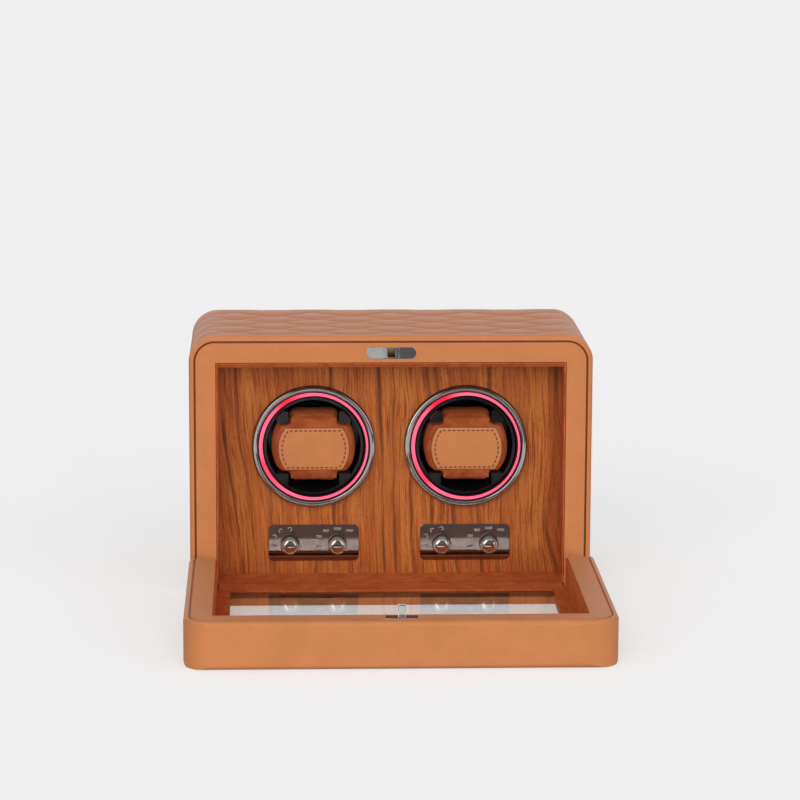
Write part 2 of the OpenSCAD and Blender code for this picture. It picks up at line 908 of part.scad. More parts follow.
module catch_box() {
    w = catch_box_w / 2;
    h = catch_box_h / 2;
    color("gray") from_rim() difference() {
        box([-w, strike_back, catch_z - h], [w, catch_box_back, catch_z + h]);
        box([-w + catch_box_wall, strike_back - cut, catch_z - h + catch_box_wall],
            [w - catch_box_wall, catch_box_back - catch_box_wall, catch_z + h - catch_box_wall]);
    }
}

// Sprung clip whose two arms lie beside the tongue and stand on the box's back
module catch_clip() {
    x0 = prong_w / 2 + clip_play;
    y0 = strike_back + 1.5;
    y1 = catch_box_back - catch_box_wall;
    h = catch_box_h / 2 - catch_box_wall;
    color("gold") from_rim() {
        for (side = [left, right]) scale([side, 1, 1])
            box([x0, y0, catch_z - h], [x0 + clip_t, y1, catch_z + h]);
        box([-x0 - clip_t, y1 - clip_t, catch_z - h], [x0 + clip_t, y1, catch_z + h]);
    }
}

module lid_keeper() {
    top = lid_t + keeper_proud;
    r = prong_t / 2;
    color("silver") from_rim() {
        box([-keeper_w / 2, keeper_y - keeper_h / 2, top - keeper_t],
            [keeper_w / 2, keeper_y + keeper_h / 2, top]);
        box([-prong_w / 2, keeper_y - r, top - 0.1], [prong_w / 2, keeper_y + r, lid_t + prong_h - r]);
        translate([-prong_w / 2, keeper_y, lid_t + prong_h - r]) rotate([0, 90, 0])
            cylinder(r = r, h = prong_w, $fn = 32);
    }
}

// ---- Hinge ----

// One leaf with every second knuckle: start is 0 or 1, and the leaf fills y0 to y1
module hinge_leaf(start, y0, y1, bore_r) {
    x0 = -hinge_len / 2;
    difference() {
        union() {
            box([x0, y0, leaf_low], [-x0, y1, leaf_top]);
            for (i = [start : 2 : knuckles - 1]) {
                a = x0 + i * knuckle_len + knuckle_gap / 2;
                b = a + knuckle_len - knuckle_gap;
                box([a, y0, leaf_top - 0.1], [b, y1, hinge_z]);
                translate([a, hinge_y, hinge_z]) rotate([0, 90, 0])
                    cylinder(r = knuckle_r, h = b - a, $fn = 48);
            }
        }
        translate([x0 - cut, hinge_y, hinge_z]) rotate([0, 90, 0])
            cylinder(r = bore_r, h = hinge_len + 2 * cut, $fn = 48);
        children();
    }
}

module hinge_case_leaf() {
    y0 = case_hinge_face - leaf_t;
    color("goldenrod") from_rim() hinge_leaf(0, y0, case_hinge_face, pin_r)
        at_leaf_screws() translate([0, y0, 0]) countersunk(leaf_screw_r, leaf_screw_head_r, leaf_screw_len);
}

module hinge_lid_leaf() {
    y1 = lid_hinge_face + leaf_t;
    color("goldenrod") from_rim() hinge_leaf(1, lid_hinge_face, y1, pin_r + pin_clear)
        at_leaf_screws() translate([0, y1, 0]) rotate([180, 0, 0])
            countersunk(leaf_screw_r, leaf_screw_head_r, leaf_screw_len);
}

module hinge_pin() {
    color("silver") from_rim() translate([-hinge_len / 2, hinge_y, hinge_z]) rotate([0, 90, 0])
        cylinder(r = pin_r, h = hinge_len, $fn = 48);
}

module hinge_screws_case() {
    color("goldenrod") from_rim() at_leaf_screws() translate([0, case_hinge_face - leaf_t, 0])
        countersunk(leaf_screw_r, leaf_screw_head_r, leaf_screw_len);
}

module hinge_screws_lid() {
    color("goldenrod") from_rim() at_leaf_screws() translate([0, lid_hinge_face + leaf_t, 0])
        rotate([180, 0, 0]) countersunk(leaf_screw_r, leaf_screw_head_r, leaf_screw_len);
}

// ---- Lid, lying open ----

module lid_envelope() {
    intersection() {
        plan_extrude(0, lid_t)
            soft_rect([-half_w, lid_near], [half_w, lid_far], [corner_r, corner_r, foot_r, foot_r]);
        front_extrude(lid_near, lid_far)
            soft_rect([-half_w, 0], [half_w, lid_t], [edge_r, edge_r, edge_r, edge_r]);
        side_extrude(-half_w, half_w)
            soft_rect([lid_near, 0], [lid_far, lid_t], [edge_r, edge_r, 1, edge_r]);
    }
}

// Outline that follows the lid's rim in plan at a distance and runs out at the hinge side
module lid_groove_edge(inset) {
    w = half_w - inset;
    r = corner_r - inset;
    soft_rect([-w, lid_near + inset], [w, lid_far + 2 * cut], [r, r, 0.1, 0.1]);
}

module lid_frame() {
    grooved = groove_inset - groove_w / 2;
    inner = groove_inset + groove_w / 2;
    color("chocolate") from_rim() difference() {
        lid_envelope();
        box([-inner_half_w, tray_near, lip_t], [inner_half_w, lid_far + cut, lid_t + cut]);
        box([-recess_half_w, lid_hinge_face, -cut], [recess_half_w, lid_far + cut, lid_t + cut]);
        box([-window_half_w, window_near, -cut], [window_half_w, window_far, lip_t + cut]);
        plan_extrude(lid_t - groove_depth, lid_t + cut) difference() {
            lid_groove_edge(grooved);
            lid_groove_edge(inner);
        }
        box([-keeper_w / 2, keeper_y - keeper_h / 2, lid_t + keeper_proud - keeper_t],
            [keeper_w / 2, keeper_y + keeper_h / 2, lid_t + cut]);
        barrel_room();
        at_leaf_screws() translate([0, lid_hinge_face + leaf_t, 0]) rotate([180, 0, 0])
            countersunk(leaf_screw_r, leaf_screw_head_r, leaf_screw_len);
    }
}

module glass_pane() {
    w = inner_half_w - pane_play;
    color([0.8, 0.9, 0.9, 0.4]) from_rim()
        box([-w, tray_near + pane_play, lip_t], [w, pane_far, pane_top]);
}

module pane_retainer() {
    w = inner_half_w;
    color("sienna") from_rim() difference() {
        box([-w, tray_near, pane_top], [w, pane_far, retainer_top]);
        box([-window_half_w, window_near, pane_top - cut],
            [window_half_w, pane_far - hinge_strip_w, retainer_top + cut]);
    }
}

module lid_lining() {
    w = inner_half_w;
    top = lid_t - edge_r / 2;
    color("sienna") from_rim() difference() {
        box([-w, tray_near, retainer_top], [w, lid_far, top]);
        box([-recess_half_w, tray_near + lining_t, retainer_top - cut], [recess_half_w, lid_far + cut, top + cut]);
    }
}

base_felt();
case_carcass();
quilted_wrap();
front_collar();
case_lining();
wood_fascia();
fascia_battens();
back_panel();
back_panel_screws();
power_inlet();
control_board();
bezel(left);  // bezel_left
bezel(right);  // bezel_right
light_ring(left);  // light_ring_left
light_ring(right);  // light_ring_right
lamp_board(left);  // lamp_board_left
lamp_board(right);  // lamp_board_right
winder_housing(left);  // winder_housing_left
winder_housing(right);  // winder_housing_right
housing_screws();
shaft_bushes();
drum_cup(left);  // drum_cup_left
drum_cup(right);  // drum_cup_right
drum_shaft(left);  // drum_shaft_left
drum_shaft(right);  // drum_shaft_right
drum_pulley(left);  // drum_pulley_left
drum_pulley(right);  // drum_pulley_right
drive_belt(left);  // drive_belt_left
drive_belt(right);  // drive_belt_right
motor(left);  // motor_left
motor(right);  // motor_right
motor_bracket(left);  // motor_bracket_left
motor_bracket(right);  // motor_bracket_right
motor_pulley(left);  // motor_pulley_left
motor_pulley(right);  // motor_pulley_right
cushion(left);  // cushion_left
cushion(right);  // cushion_right
cushion_patch(left);  // cushion_patch_left
cushion_patch(right);  // cushion_patch_right
control_plate(left);  // control_plate_left
control_plate(right);  // control_plate_right
rotary_switches(left);  // rotary_switches_left
rotary_switches(right);  // rotary_switches_right
knob(left, left, off_angle);  // direction_knob_left
knob(left, right, turns_angle_left);  // turns_knob_left
knob(right, left, off_angle);  // direction_knob_right
knob(right, right, turns_angle_right);  // turns_knob_right
strike_plate();
catch_box();
catch_clip();
hinge_case_leaf();
hinge_lid_leaf();
hinge_pin();
hinge_screws_case();
hinge_screws_lid();
lid_frame();
lid_lining();
glass_pane();
pane_retainer();
lid_keeper();
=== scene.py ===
"""Looks of a double watch winder box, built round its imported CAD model.

The case stands with its glazed lid lying open before it. Each class below holds the sizes of one
sub-assembly, in millimetres from the plane of the case's rim, and dresses or rebuilds its pieces.
"""

from __future__ import annotations

import json
import logging
import math
from dataclasses import dataclass
from enum import Enum
from typing import Any, Callable, Optional, Sequence

import bmesh
import bpy
from mathutils import Matrix, Vector, noise

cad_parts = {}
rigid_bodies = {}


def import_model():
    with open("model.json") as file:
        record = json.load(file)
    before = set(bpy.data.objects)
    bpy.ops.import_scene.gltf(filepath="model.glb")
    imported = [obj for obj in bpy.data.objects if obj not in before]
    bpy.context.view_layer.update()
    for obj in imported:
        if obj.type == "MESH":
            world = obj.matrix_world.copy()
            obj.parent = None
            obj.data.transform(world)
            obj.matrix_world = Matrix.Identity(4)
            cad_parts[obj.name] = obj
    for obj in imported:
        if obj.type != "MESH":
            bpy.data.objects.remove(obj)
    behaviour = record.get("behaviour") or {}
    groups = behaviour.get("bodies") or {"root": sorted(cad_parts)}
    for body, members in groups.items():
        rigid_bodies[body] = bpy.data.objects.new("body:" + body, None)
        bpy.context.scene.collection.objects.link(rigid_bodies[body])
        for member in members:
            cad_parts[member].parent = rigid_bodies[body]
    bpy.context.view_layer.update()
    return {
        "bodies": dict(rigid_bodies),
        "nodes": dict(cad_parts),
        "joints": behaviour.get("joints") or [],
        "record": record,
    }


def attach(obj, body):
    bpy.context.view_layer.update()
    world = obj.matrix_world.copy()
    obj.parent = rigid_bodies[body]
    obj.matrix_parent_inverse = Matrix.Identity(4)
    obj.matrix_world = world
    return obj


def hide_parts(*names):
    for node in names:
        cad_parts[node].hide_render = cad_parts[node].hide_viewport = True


LOG = logging.getLogger("winder_box")
MM = 0.001
RIM_Y = -68.0
QUARTER = math.pi / 2
Colour = tuple[float, float, float]
Point = tuple[float, float, float]
Profile = Sequence[tuple[float, float]]


def place(x: float, y: float, z: float) -> Vector:
    """Turns millimetres from the rim's plane into metres in the part's frame.

    Args:
        x: Distance to the right of the middle.
        y: Distance behind the rim.
        z: Height.

    Returns:
        The point in metres.
    """
    return Vector((x, y + RIM_Y, z)) * MM


def smooth_step(value: float, low: float, high: float) -> float:
    """Rises from 0 at low to 1 at high along an S curve.

    Args:
        value: Where to read the curve.
        low: Start of the rise.
        high: End of the rise.

    Returns:
        A share from 0 to 1.
    """
    t = min(max((value - low) / (high - low), 0.0), 1.0)
    return t * t * (3 - 2 * t)


def toned(colour: Colour, factor: float, lift: float = 0.0) -> Colour:
    """Makes a colour lighter or darker, and keeps it below white."""
    return tuple(min(1.0, c * factor + lift) for c in colour)


class Side(Enum):
    """The two winders and their controls."""

    LEFT = ("left", -1)
    RIGHT = ("right", 1)

    @property
    def word(self) -> str:
        """Word used in node names."""
        return self.value[0]

    @property
    def sign(self) -> int:
        """Minus one on the left, one on the right."""
        return self.value[1]


# ---------------------------------------------------------------- shader building


class Graph:
    """Short calls for adding nodes to one shader tree."""

    def __init__(self, tree: bpy.types.NodeTree) -> None:
        """Keeps the tree that nodes are added to."""
        self.tree = tree

    def add(self, kind: str, ins: Optional[dict[Any, Any]] = None, **props: Any) -> bpy.types.Node:
        """Adds a node.

        Args:
            kind: The node's type without the ShaderNode prefix.
            ins: Values or sockets for its inputs, by name or number.
            **props: Attributes of the node.

        Returns:
            The new node.
        """
        node = self.tree.nodes.new("ShaderNode" + kind)
        for key, value in props.items():
            setattr(node, key, value)
        for key, value in (ins or {}).items():
            self.feed(node.inputs[key], value)
        return node

    def feed(self, socket: bpy.types.NodeSocket, value: Any) -> None:
        """Links a socket into an input, or sets the input's value.

        Args:
            socket: The input.
            value: A socket or a plain value.
        """
        if isinstance(value, bpy.types.NodeSocket):
            self.tree.links.new(value, socket)
        else:
            socket.default_value = value

    def math(self, operation: str, *values: Any, clamp: bool = False) -> bpy.types.NodeSocket:
        """Adds a Math node and returns its result."""
        ins = dict(enumerate(values))
        return self.add("Math", ins, operation=operation, use_clamp=clamp).outputs[0]

    def times(self, first: Any, second: Any) -> bpy.types.NodeSocket:
        """Multiplies two values."""
        return self.math("MULTIPLY", first, second)

    def plus(self, first: Any, second: Any) -> bpy.types.NodeSocket:
        """Adds two values."""
        return self.math("ADD", first, second)

    def minus(self, first: Any, second: Any) -> bpy.types.NodeSocket:
        """Takes the second value from the first."""
        return self.math("SUBTRACT", first, second)

    def off(self, value: Any, middle: float) -> bpy.types.NodeSocket:
        """Measures how far a value is from a middle."""
        return self.math("ABSOLUTE", self.minus(value, middle))

    def far(self, first: Any, second: Any) -> bpy.types.NodeSocket:
        """Measures the length of a flat vector."""
        squares = [self.math("POWER", value, 2.0) for value in (first, second)]
        return self.math("SQRT", self.plus(*squares))

    def ease(self, value: Any, low: float, high: float) -> bpy.types.NodeSocket:
        """Maps a value from low..high onto a smooth 0..1."""
        ins = {"Value": value, "From Min": low, "From Max": high}
        return self.add("MapRange", ins, interpolation_type="SMOOTHSTEP").outputs[0]

    def mix(self, share: Any, first: Any, second: Any) -> bpy.types.NodeSocket:
        """Mixes two colours by a share.

        Args:
            share: The second colour's share.
            first: A colour or a socket.
            second: A colour or a socket.

        Returns:
            The mixed colour.
        """
        node = self.add("Mix", data_type="RGBA")
        for key, value in ((0, share), (6, first), (7, second)):
            plain = not isinstance(value, bpy.types.NodeSocket)
            self.feed(node.inputs[key], (*value, 1.0) if plain and key else value)
        return node.outputs[2]

    def noise(self, vector: Any, scale: Any, detail: float = 2.0, rough: float = 0.5,
              distortion: float = 0.0) -> bpy.types.NodeSocket:
        """Adds a noise texture.

        Args:
            vector: Where the noise is read.
            scale: Its scale.
            detail: How many finer layers it has.
            rough: How strong the finer layers are.
            distortion: How far it is warped.

        Returns:
            Its value.
        """
        ins = {"Vector": vector, "Scale": scale, "Detail": detail, "Roughness": rough,
               "Distortion": distortion}
        return self.add("TexNoise", ins).outputs[0]

    def stretched(self, vector: Any, scale: Point) -> bpy.types.NodeSocket:
        """Scales a vector."""
        return self.add("Mapping", {"Vector": vector, "Scale": scale}).outputs[0]

    def split(self, vector: Any) -> tuple[bpy.types.NodeSocket, ...]:
        """Splits a vector into x, y and z."""
        return tuple(self.add("SeparateXYZ", {0: vector}).outputs)


def shared_group(name: str, ins: Sequence[tuple[str, str]], outs: Sequence[str],
                 build: Callable[[Graph, dict[str, bpy.types.NodeSocket]], Sequence[Any]]
                 ) -> bpy.types.NodeTree:
    """Makes a shader node group once and finds it again afterwards.

    Args:
        name: The group's name.
        ins: Name and kind of each input.
        outs: Name of each output, a plain value.
        build: Adds the nodes and returns one socket for each output.

    Returns:
        The group's tree.
    """
    found = bpy.data.node_groups.get(name)
    if found:
        return found
    tree = bpy.data.node_groups.new(name, "ShaderNodeTree")
    for title, kind in ins:
        tree.interface.new_socket(name=title, in_out="INPUT", socket_type="NodeSocket" + kind)
    for title in outs:
        tree.interface.new_socket(name=title, in_out="OUTPUT", socket_type="NodeSocketFloat")
    entry = tree.nodes.new("NodeGroupInput")
    leave = tree.nodes.new("NodeGroupOutput")
    graph = Graph(tree)
    for title, socket in zip(outs, build(graph, {s.name: s for s in entry.outputs if s.name})):
        tree.links.new(socket, leave.inputs[title])
    return tree


def grain_pattern(g: Graph, i: dict[str, Any]) -> Sequence[Any]:
    """Draws leather grain: pebbles parted by fine valleys, with soft blotches.

    Args:
        g: The group's graph.
        i: The group's inputs by name.

    Returns:
        The grain's height and its blotches.
    """
    where, scale = i["Vector"], i["Scale"]
    warp_share, valley_width, fine, broad, pebbled = 0.0012, 0.25, 2.3, 0.02, 0.6
    warp = g.add("TexNoise", {"Vector": where, "Scale": scale, "Detail": 2.0}).outputs[1]
    moved = g.add("VectorMath", {0: warp, 1: where}, operation="ADD").outputs[0]
    soft = g.add("MixRGB", {0: warp_share, 1: where, 2: moved}).outputs[0]
    cells = g.add("TexVoronoi", {"Vector": soft, "Scale": scale}, feature="DISTANCE_TO_EDGE")
    valley = g.ease(cells.outputs[0], 0.0, valley_width)
    pebble = g.noise(where, g.times(scale, fine), 3.0)
    height = g.plus(g.times(valley, pebbled), g.times(pebble, 1 - pebbled))
    return height, g.noise(where, g.times(scale, broad), 3.0, 0.6)


def nap_pattern(g: Graph, i: dict[str, Any]) -> Sequence[Any]:
    """Draws suede or felt: a fine fibre and the cloudy marks of brushing.

    Args:
        g: The group's graph.
        i: The group's inputs by name.

    Returns:
        The fibre's height and the clouds.
    """
    where, scale = i["Vector"], i["Scale"]
    lie, broad, swirl = (1.0, 0.35, 1.0), 0.018, 1.2
    fibre = g.noise(g.stretched(where, lie), scale, 4.0, 0.7)
    cloud = g.noise(where, g.times(scale, broad), 3.0, 0.62, swirl)
    return fibre, g.ease(cloud, 0.36, 0.64)


def smudge_pattern(g: Graph, i: dict[str, Any]) -> Sequence[Any]:
    """Draws handling marks: cloudy wear and fine hairlines.

    Args:
        g: The group's graph.
        i: The group's inputs by name.

    Returns:
        The clouds and the hairlines.
    """
    where, scale = i["Vector"], i["Scale"]
    along, fine = (0.12, 1.0, 1.0), 18.0
    cloud = g.ease(g.noise(where, scale, 4.0, 0.6), 0.4, 0.7)
    return cloud, g.noise(g.stretched(where, along), g.times(scale, fine), 2.0)


def wood_pattern(g: Graph, i: dict[str, Any]) -> Sequence[Any]:
    """Draws upright wood: soft bands, dark streaks that wander and fade, fine grain and pores.

    Args:
        g: The group's graph.
        i: The group's inputs by name.

    Returns:
        The bands, the streaks, the fine grain and the pores.
    """
    where, scale = i["Vector"], i["Scale"]
    lean, sway_size, wander_size, upright = 0.06, 0.022, 0.006, 0.03
    streak_scale, girth, line_width = 1.5, 0.2, 1.7
    x, y, z = g.split(where)
    sway = g.noise(g.stretched(where, (1.0, 1.0, 0.5)), g.times(scale, 0.22), 3.0)
    leaning = g.math("MULTIPLY_ADD", z, lean, x)
    bent = g.math("MULTIPLY_ADD", g.minus(sway, 0.5), sway_size, leaning)
    flow = g.add("CombineXYZ", {0: bent, 1: y, 2: g.times(z, upright)}).outputs[0]
    band = g.ease(g.noise(flow, g.times(scale, 1.1), 2.0, 0.55), 0.32, 0.68)
    wobble = g.noise(g.stretched(where, (1.0, 1.0, 0.25)), g.times(scale, 0.9), 2.0)
    wandering = g.math("MULTIPLY_ADD", g.minus(wobble, 0.5), wander_size, bent)
    across = g.times(wandering, g.times(scale, streak_scale))
    cell = g.add("TexVoronoi", {"W": across, "Scale": 1.0}, voronoi_dimensions="1D",
                 feature="DISTANCE_TO_EDGE").outputs[0]
    swell = g.ease(g.noise(flow, g.times(scale, 2.7), 2.0), 0.3, 0.68)
    line = g.ease(cell, g.times(g.times(swell, girth), line_width), -0.03)
    patches = g.noise(g.stretched(flow, (1.0, 1.0, 8.0)), g.times(scale, 0.75), 2.0)
    fading = g.ease(patches, 0.4, 0.6)
    fine = g.noise(flow, g.times(scale, 16.0), 4.0, 0.7)
    pores = g.noise(g.stretched(flow, (1.0, 1.0, 5.0)), g.times(scale, 26.0), 2.0, 0.7)
    return band, g.times(line, fading), fine, pores


class Pattern(Enum):
    """The shared patterns: group name, outputs and builder."""

    GRAIN = ("grain", ("Height", "Blotch"), grain_pattern)
    NAP = ("nap", ("Fibre", "Cloud"), nap_pattern)
    SMUDGE = ("smudge", ("Cloud", "Hair"), smudge_pattern)
    WOOD = ("figure", ("Band", "Line", "Fine", "Pores"), wood_pattern)

    def put(self, g: Graph, vector: Any, scale: float) -> Sequence[bpy.types.NodeSocket]:
        """Places the pattern's group in a material.

        Args:
            g: The material's graph.
            vector: Object coordinates.
            scale: The pattern's scale.

        Returns:
            The group's outputs.
        """
        name, outs, build = self.value
        node = g.add("Group")
        node.node_tree = shared_group(name, (("Vector", "Vector"), ("Scale", "Float")), outs, build)
        g.feed(node.inputs["Vector"], vector)
        node.inputs["Scale"].default_value = scale
        return list(node.outputs)


def bump(g: Graph, body: bpy.types.Node, height: Any, strength: float, distance: float) -> None:
    """Feeds a height into the shader's normal through a Bump node."""
    node = g.add("Bump", {"Height": height, "Strength": strength, "Distance": distance})
    g.feed(body.inputs["Normal"], node.outputs[0])


MADE: dict[str, bpy.types.Material] = {}


@dataclass(frozen=True)
class Finish:
    """Moulded or painted finish, and what every finish has: a name, a colour and a roughness."""

    name: str
    colour: Colour
    rough: float = 0.5

    def shader(self) -> tuple[bpy.types.Material, Graph, bpy.types.Node, bpy.types.NodeSocket]:
        """Starts a material.

        Returns:
            The material, its graph, its Principled node and the object coordinates.
        """
        material = bpy.data.materials.new(self.name)
        material.use_nodes = True
        graph = Graph(material.node_tree)
        body = material.node_tree.nodes["Principled BSDF"]
        graph.feed(body.inputs["Base Color"], (*self.colour, 1.0))
        body.inputs["Roughness"].default_value = self.rough
        return material, graph, body, graph.add("TexCoord").outputs["Object"]

    def material(self) -> bpy.types.Material:
        """Builds the finish's material, or finds it again.

        Returns:
            The material.
        """
        if self.name not in MADE:
            MADE[self.name] = self.build()
        return MADE[self.name]

    def build(self) -> bpy.types.Material:
        """Builds an even colour with faint marks.

        Returns:
            The material.
        """
        dust_share, wear = 0.5, 0.12
        material, g, body, where = self.shader()
        cloud, hair = Pattern.SMUDGE.put(g, where, 60.0)
        dusty = toned(self.colour, 1.35, 0.004)
        g.feed(body.inputs["Base Color"], g.mix(g.times(cloud, dust_share), self.colour, dusty))
        g.feed(body.inputs["Roughness"], g.math("MULTIPLY_ADD", cloud, wear, self.rough))
        bump(g, body, hair, 0.02, 0.0002)
        return material


@dataclass(frozen=True)
class Seam:
    """Painted shade of the groove that follows the rim's rounded outline at a distance inside it."""

    half_w: float = 140.0
    top: float = 182.0
    radius: float = 18.0
    inset: float = 4.0
    half_width: float = 0.7

    def mask(self, g: Graph, where: Any) -> bpy.types.NodeSocket:
        """Builds the painted groove shade's mask from object coordinates.

        Args:
            g: The graph to add to.
            where: Object coordinates.

        Returns:
            One on the line, zero beside it.
        """
        x, _, z = g.split(where)
        reach, rise = (self.half_w - self.radius) * MM, (self.top - self.radius) * MM
        aside = g.math("MAXIMUM", g.minus(g.math("ABSOLUTE", x), reach), 0.0)
        above = g.math("MAXIMUM", g.minus(z, rise), 0.0)
        off = g.off(g.far(aside, above), (self.radius - self.inset) * MM)
        return g.ease(off, self.half_width * 1.25 * MM, self.half_width * 0.8 * MM)


@dataclass(frozen=True)
class Leather(Finish):
    """Grained leather with a soft sheen, a darker tone in its grain valleys, and painted shade in its
    creases and in the rim's groove.
    """

    dark: Colour = (0.13, 0.03, 0.008)
    grain: float = 1500.0
    depth: float = 0.05
    creased: bool = False
    seam: Optional[Seam] = None
    valley_share: float = 0.35
    crease_share: float = 0.4
    # Share of the dark tone painted as shade in the rim's groove.
    seam_share: float = 0.85

    def build(self) -> bpy.types.Material:
        """Builds the leather.

        Returns:
            The material.
        """
        material, g, body, where = self.shader()
        height, blotch = Pattern.GRAIN.put(g, where, self.grain)
        tone = g.mix(g.ease(blotch, 0.35, 0.65), self.colour, toned(self.colour, 1.08))
        tone = g.mix(g.times(g.ease(height, 0.4, 0.1), self.valley_share), tone, self.dark)
        if self.creased:
            # Painted shade in the quilt's creases, read from the crease attribute.
            line = g.add("Attribute", attribute_name="crease").outputs["Fac"]
            tone = g.mix(g.times(g.ease(line, 0.75, 1.0), self.crease_share), tone, self.dark)
        # Painted shade along the rim's groove.
        if self.seam:
            tone = g.mix(g.times(self.seam.mask(g, where), self.seam_share), tone, self.dark)
        g.feed(body.inputs["Base Color"], tone)
        g.feed(body.inputs["Roughness"], g.math("MULTIPLY_ADD", blotch, 0.12, self.rough - 0.06))
        body.inputs["Specular IOR Level"].default_value = 0.22
        body.inputs["Sheen Weight"].default_value = 0.05
        body.inputs["Sheen Roughness"].default_value = 0.4
        bump(g, body, height, self.depth, 0.0003)
        return material


@dataclass(frozen=True)
class Suede(Finish):
    """Brushed suede or felt: cloudy light and dark patches, soft sheen, fibre bump."""

    light: Colour = (0.5, 0.15, 0.06)
    scale: float = 2600.0
    sheen: float = 0.5
    # Where the painted shade line at the fold lies behind the rim, and how high it reaches.
    fold_y: Optional[float] = None
    fold_top: float = 9.0

    def build(self) -> bpy.types.Material:
        """Builds the suede.

        Returns:
            The material.
        """
        material, g, body, where = self.shader()
        fibre, cloud = Pattern.NAP.put(g, where, self.scale)
        tone = g.mix(cloud, self.colour, self.light)
        tone = g.mix(g.ease(fibre, 0.55, 0.3), tone, toned(self.colour, 0.72))
        # Painted shade along the lining's fold at the rim.
        if self.fold_y is not None:
            tone = g.mix(self.fold(g, where), tone, toned(self.colour, 0.45))
        g.feed(body.inputs["Base Color"], tone)
        body.inputs["Roughness"].default_value = 0.95
        body.inputs["Specular IOR Level"].default_value = 0.1
        body.inputs["Sheen Weight"].default_value = self.sheen
        body.inputs["Sheen Roughness"].default_value = 0.5
        body.inputs["Sheen Tint"].default_value = (*self.light, 1.0)
        bump(g, body, fibre, 0.35, 0.0004)
        return material

    def fold(self, g: Graph, where: Any) -> bpy.types.NodeSocket:
        """Masks the line of painted shade where the lining's floor folds over the front edge.

        Args:
            g: The graph to add to.
            where: Object coordinates.

        Returns:
            The line's share of the painted shade tone.
        """
        _, y, z = g.split(where)
        off = g.off(y, (self.fold_y + RIM_Y) * MM)
        low = g.ease(z, (self.fold_top + 0.5) * MM, self.fold_top * MM)
        return g.times(g.ease(off, 0.9 * MM, 0.3 * MM), g.times(low, 0.8))


@dataclass(frozen=True)
class Wood(Finish):
    """Upright-grained wood with dark streaks under a satin varnish."""

    pale: Colour = (0.4, 0.18, 0.07)
    streak: Colour = (0.07, 0.02, 0.006)
    scale: float = 62.0
    coat: float = 0.08
    grain_share: float = 0.4
    pore_share: float = 0.45
    streak_share: float = 0.8

    def build(self) -> bpy.types.Material:
        """Builds the wood.

        Returns:
            The material.
        """
        material, g, body, where = self.shader()
        band, line, fine, pores = Pattern.WOOD.put(g, where, self.scale)
        middle = tuple((a + b) / 2 for a, b in zip(self.colour, self.pale))
        tone = g.mix(band, middle, self.pale)
        tone = g.mix(g.ease(fine, 0.60, 0.36), tone, self.colour)
        tone = g.mix(g.times(g.ease(fine, 0.44, 0.30), self.grain_share), tone, self.streak)
        tone = g.mix(g.times(g.ease(pores, 0.48, 0.3), self.pore_share), tone, self.streak)
        tone = g.mix(g.times(line, self.streak_share), tone, self.streak)
        g.feed(body.inputs["Base Color"], tone)
        body.inputs["Specular IOR Level"].default_value = 0.2
        body.inputs["Coat Weight"].default_value = self.coat
        body.inputs["Coat Roughness"].default_value = 0.3
        bump(g, body, pores, 0.12, 0.0002)
        return material


@dataclass(frozen=True)
class Metal(Finish):
    """Plated or turned metal with faint handling marks."""

    hair: float = 0.02
    wear: float = 0.6

    def build(self) -> bpy.types.Material:
        """Builds the metal.

        Returns:
            The material.
        """
        material, g, body, where = self.shader()
        cloud, hair = Pattern.SMUDGE.put(g, where, 90.0)
        body.inputs["Metallic"].default_value = 1.0
        worn = g.math("MULTIPLY_ADD", cloud, self.rough * self.wear, self.rough)
        g.feed(body.inputs["Roughness"], worn)
        g.feed(body.inputs["Base Color"], g.mix(cloud, self.colour, toned(self.colour, 0.9)))
        bump(g, body, hair, self.hair, 0.0001)
        return material


@dataclass(frozen=True)
class Glow(Finish):
    """Frosted light ring, redder near its two lamps on the left, with a dark inner step."""

    hot: Colour = (0.9, 0.02, 0.06)
    strength: float = 1.0
    step: Colour = (0.02, 0.002, 0.003)
    step_r: float = 36.1
    step_soft: float = 0.3
    step_aside: float = 0.6
    lamps: tuple[float, float] = (2.08, -2.62)
    lamp_reach: float = 0.42

    def build(self) -> bpy.types.Material:
        """Builds the light ring's glow round each rotor's axis.

        Returns:
            The material.
        """
        material, g, body, where = self.shader()
        x, _, z = g.split(where)
        side = g.minus(g.math("ABSOLUTE", x), Winder.axis_x * MM)
        across = g.times(side, g.math("SIGN", x))
        rise = g.minus(z, Winder.axis_z * MM)
        angle = g.math("ARCTAN2", rise, across)
        near = [g.ease(g.off(angle, lamp), self.lamp_reach, 0.08) for lamp in self.lamps]
        lit = g.times(g.math("MAXIMUM", *near), g.ease(g.noise(where, 40.0, 2.0), 0.2, 0.6))
        tone = g.mix(lit, self.colour, self.hot)
        reach = g.far(rise, g.minus(across, self.step_aside * MM))
        inside = g.ease(reach, (self.step_r + self.step_soft) * MM, self.step_r * MM)
        tone = g.mix(inside, tone, self.step)
        g.feed(body.inputs["Base Color"], tone)
        g.feed(body.inputs["Emission Color"], tone)
        body.inputs["Emission Strength"].default_value = self.strength
        return material


@dataclass(frozen=True)
class ClearGlass(Finish):
    """Clear pane with the faintest wiping marks, which casts no shadow."""

    def build(self) -> bpy.types.Material:
        """Builds the glass.

        Returns:
            The material.
        """
        material, g, body, where = self.shader()
        body.inputs["Transmission Weight"].default_value = 1.0
        body.inputs["IOR"].default_value = 1.5
        cloud, _ = Pattern.SMUDGE.put(g, where, 30.0)
        g.feed(body.inputs["Roughness"], g.times(cloud, 0.004))
        shadow = g.add("LightPath").outputs["Is Shadow Ray"]
        clear = g.add("BsdfTransparent")
        mixed = g.add("MixShader", {0: shadow, 1: body.outputs[0], 2: clear.outputs[0]})
        g.feed(material.node_tree.nodes["Material Output"].inputs["Surface"], mixed.outputs[0])
        return material


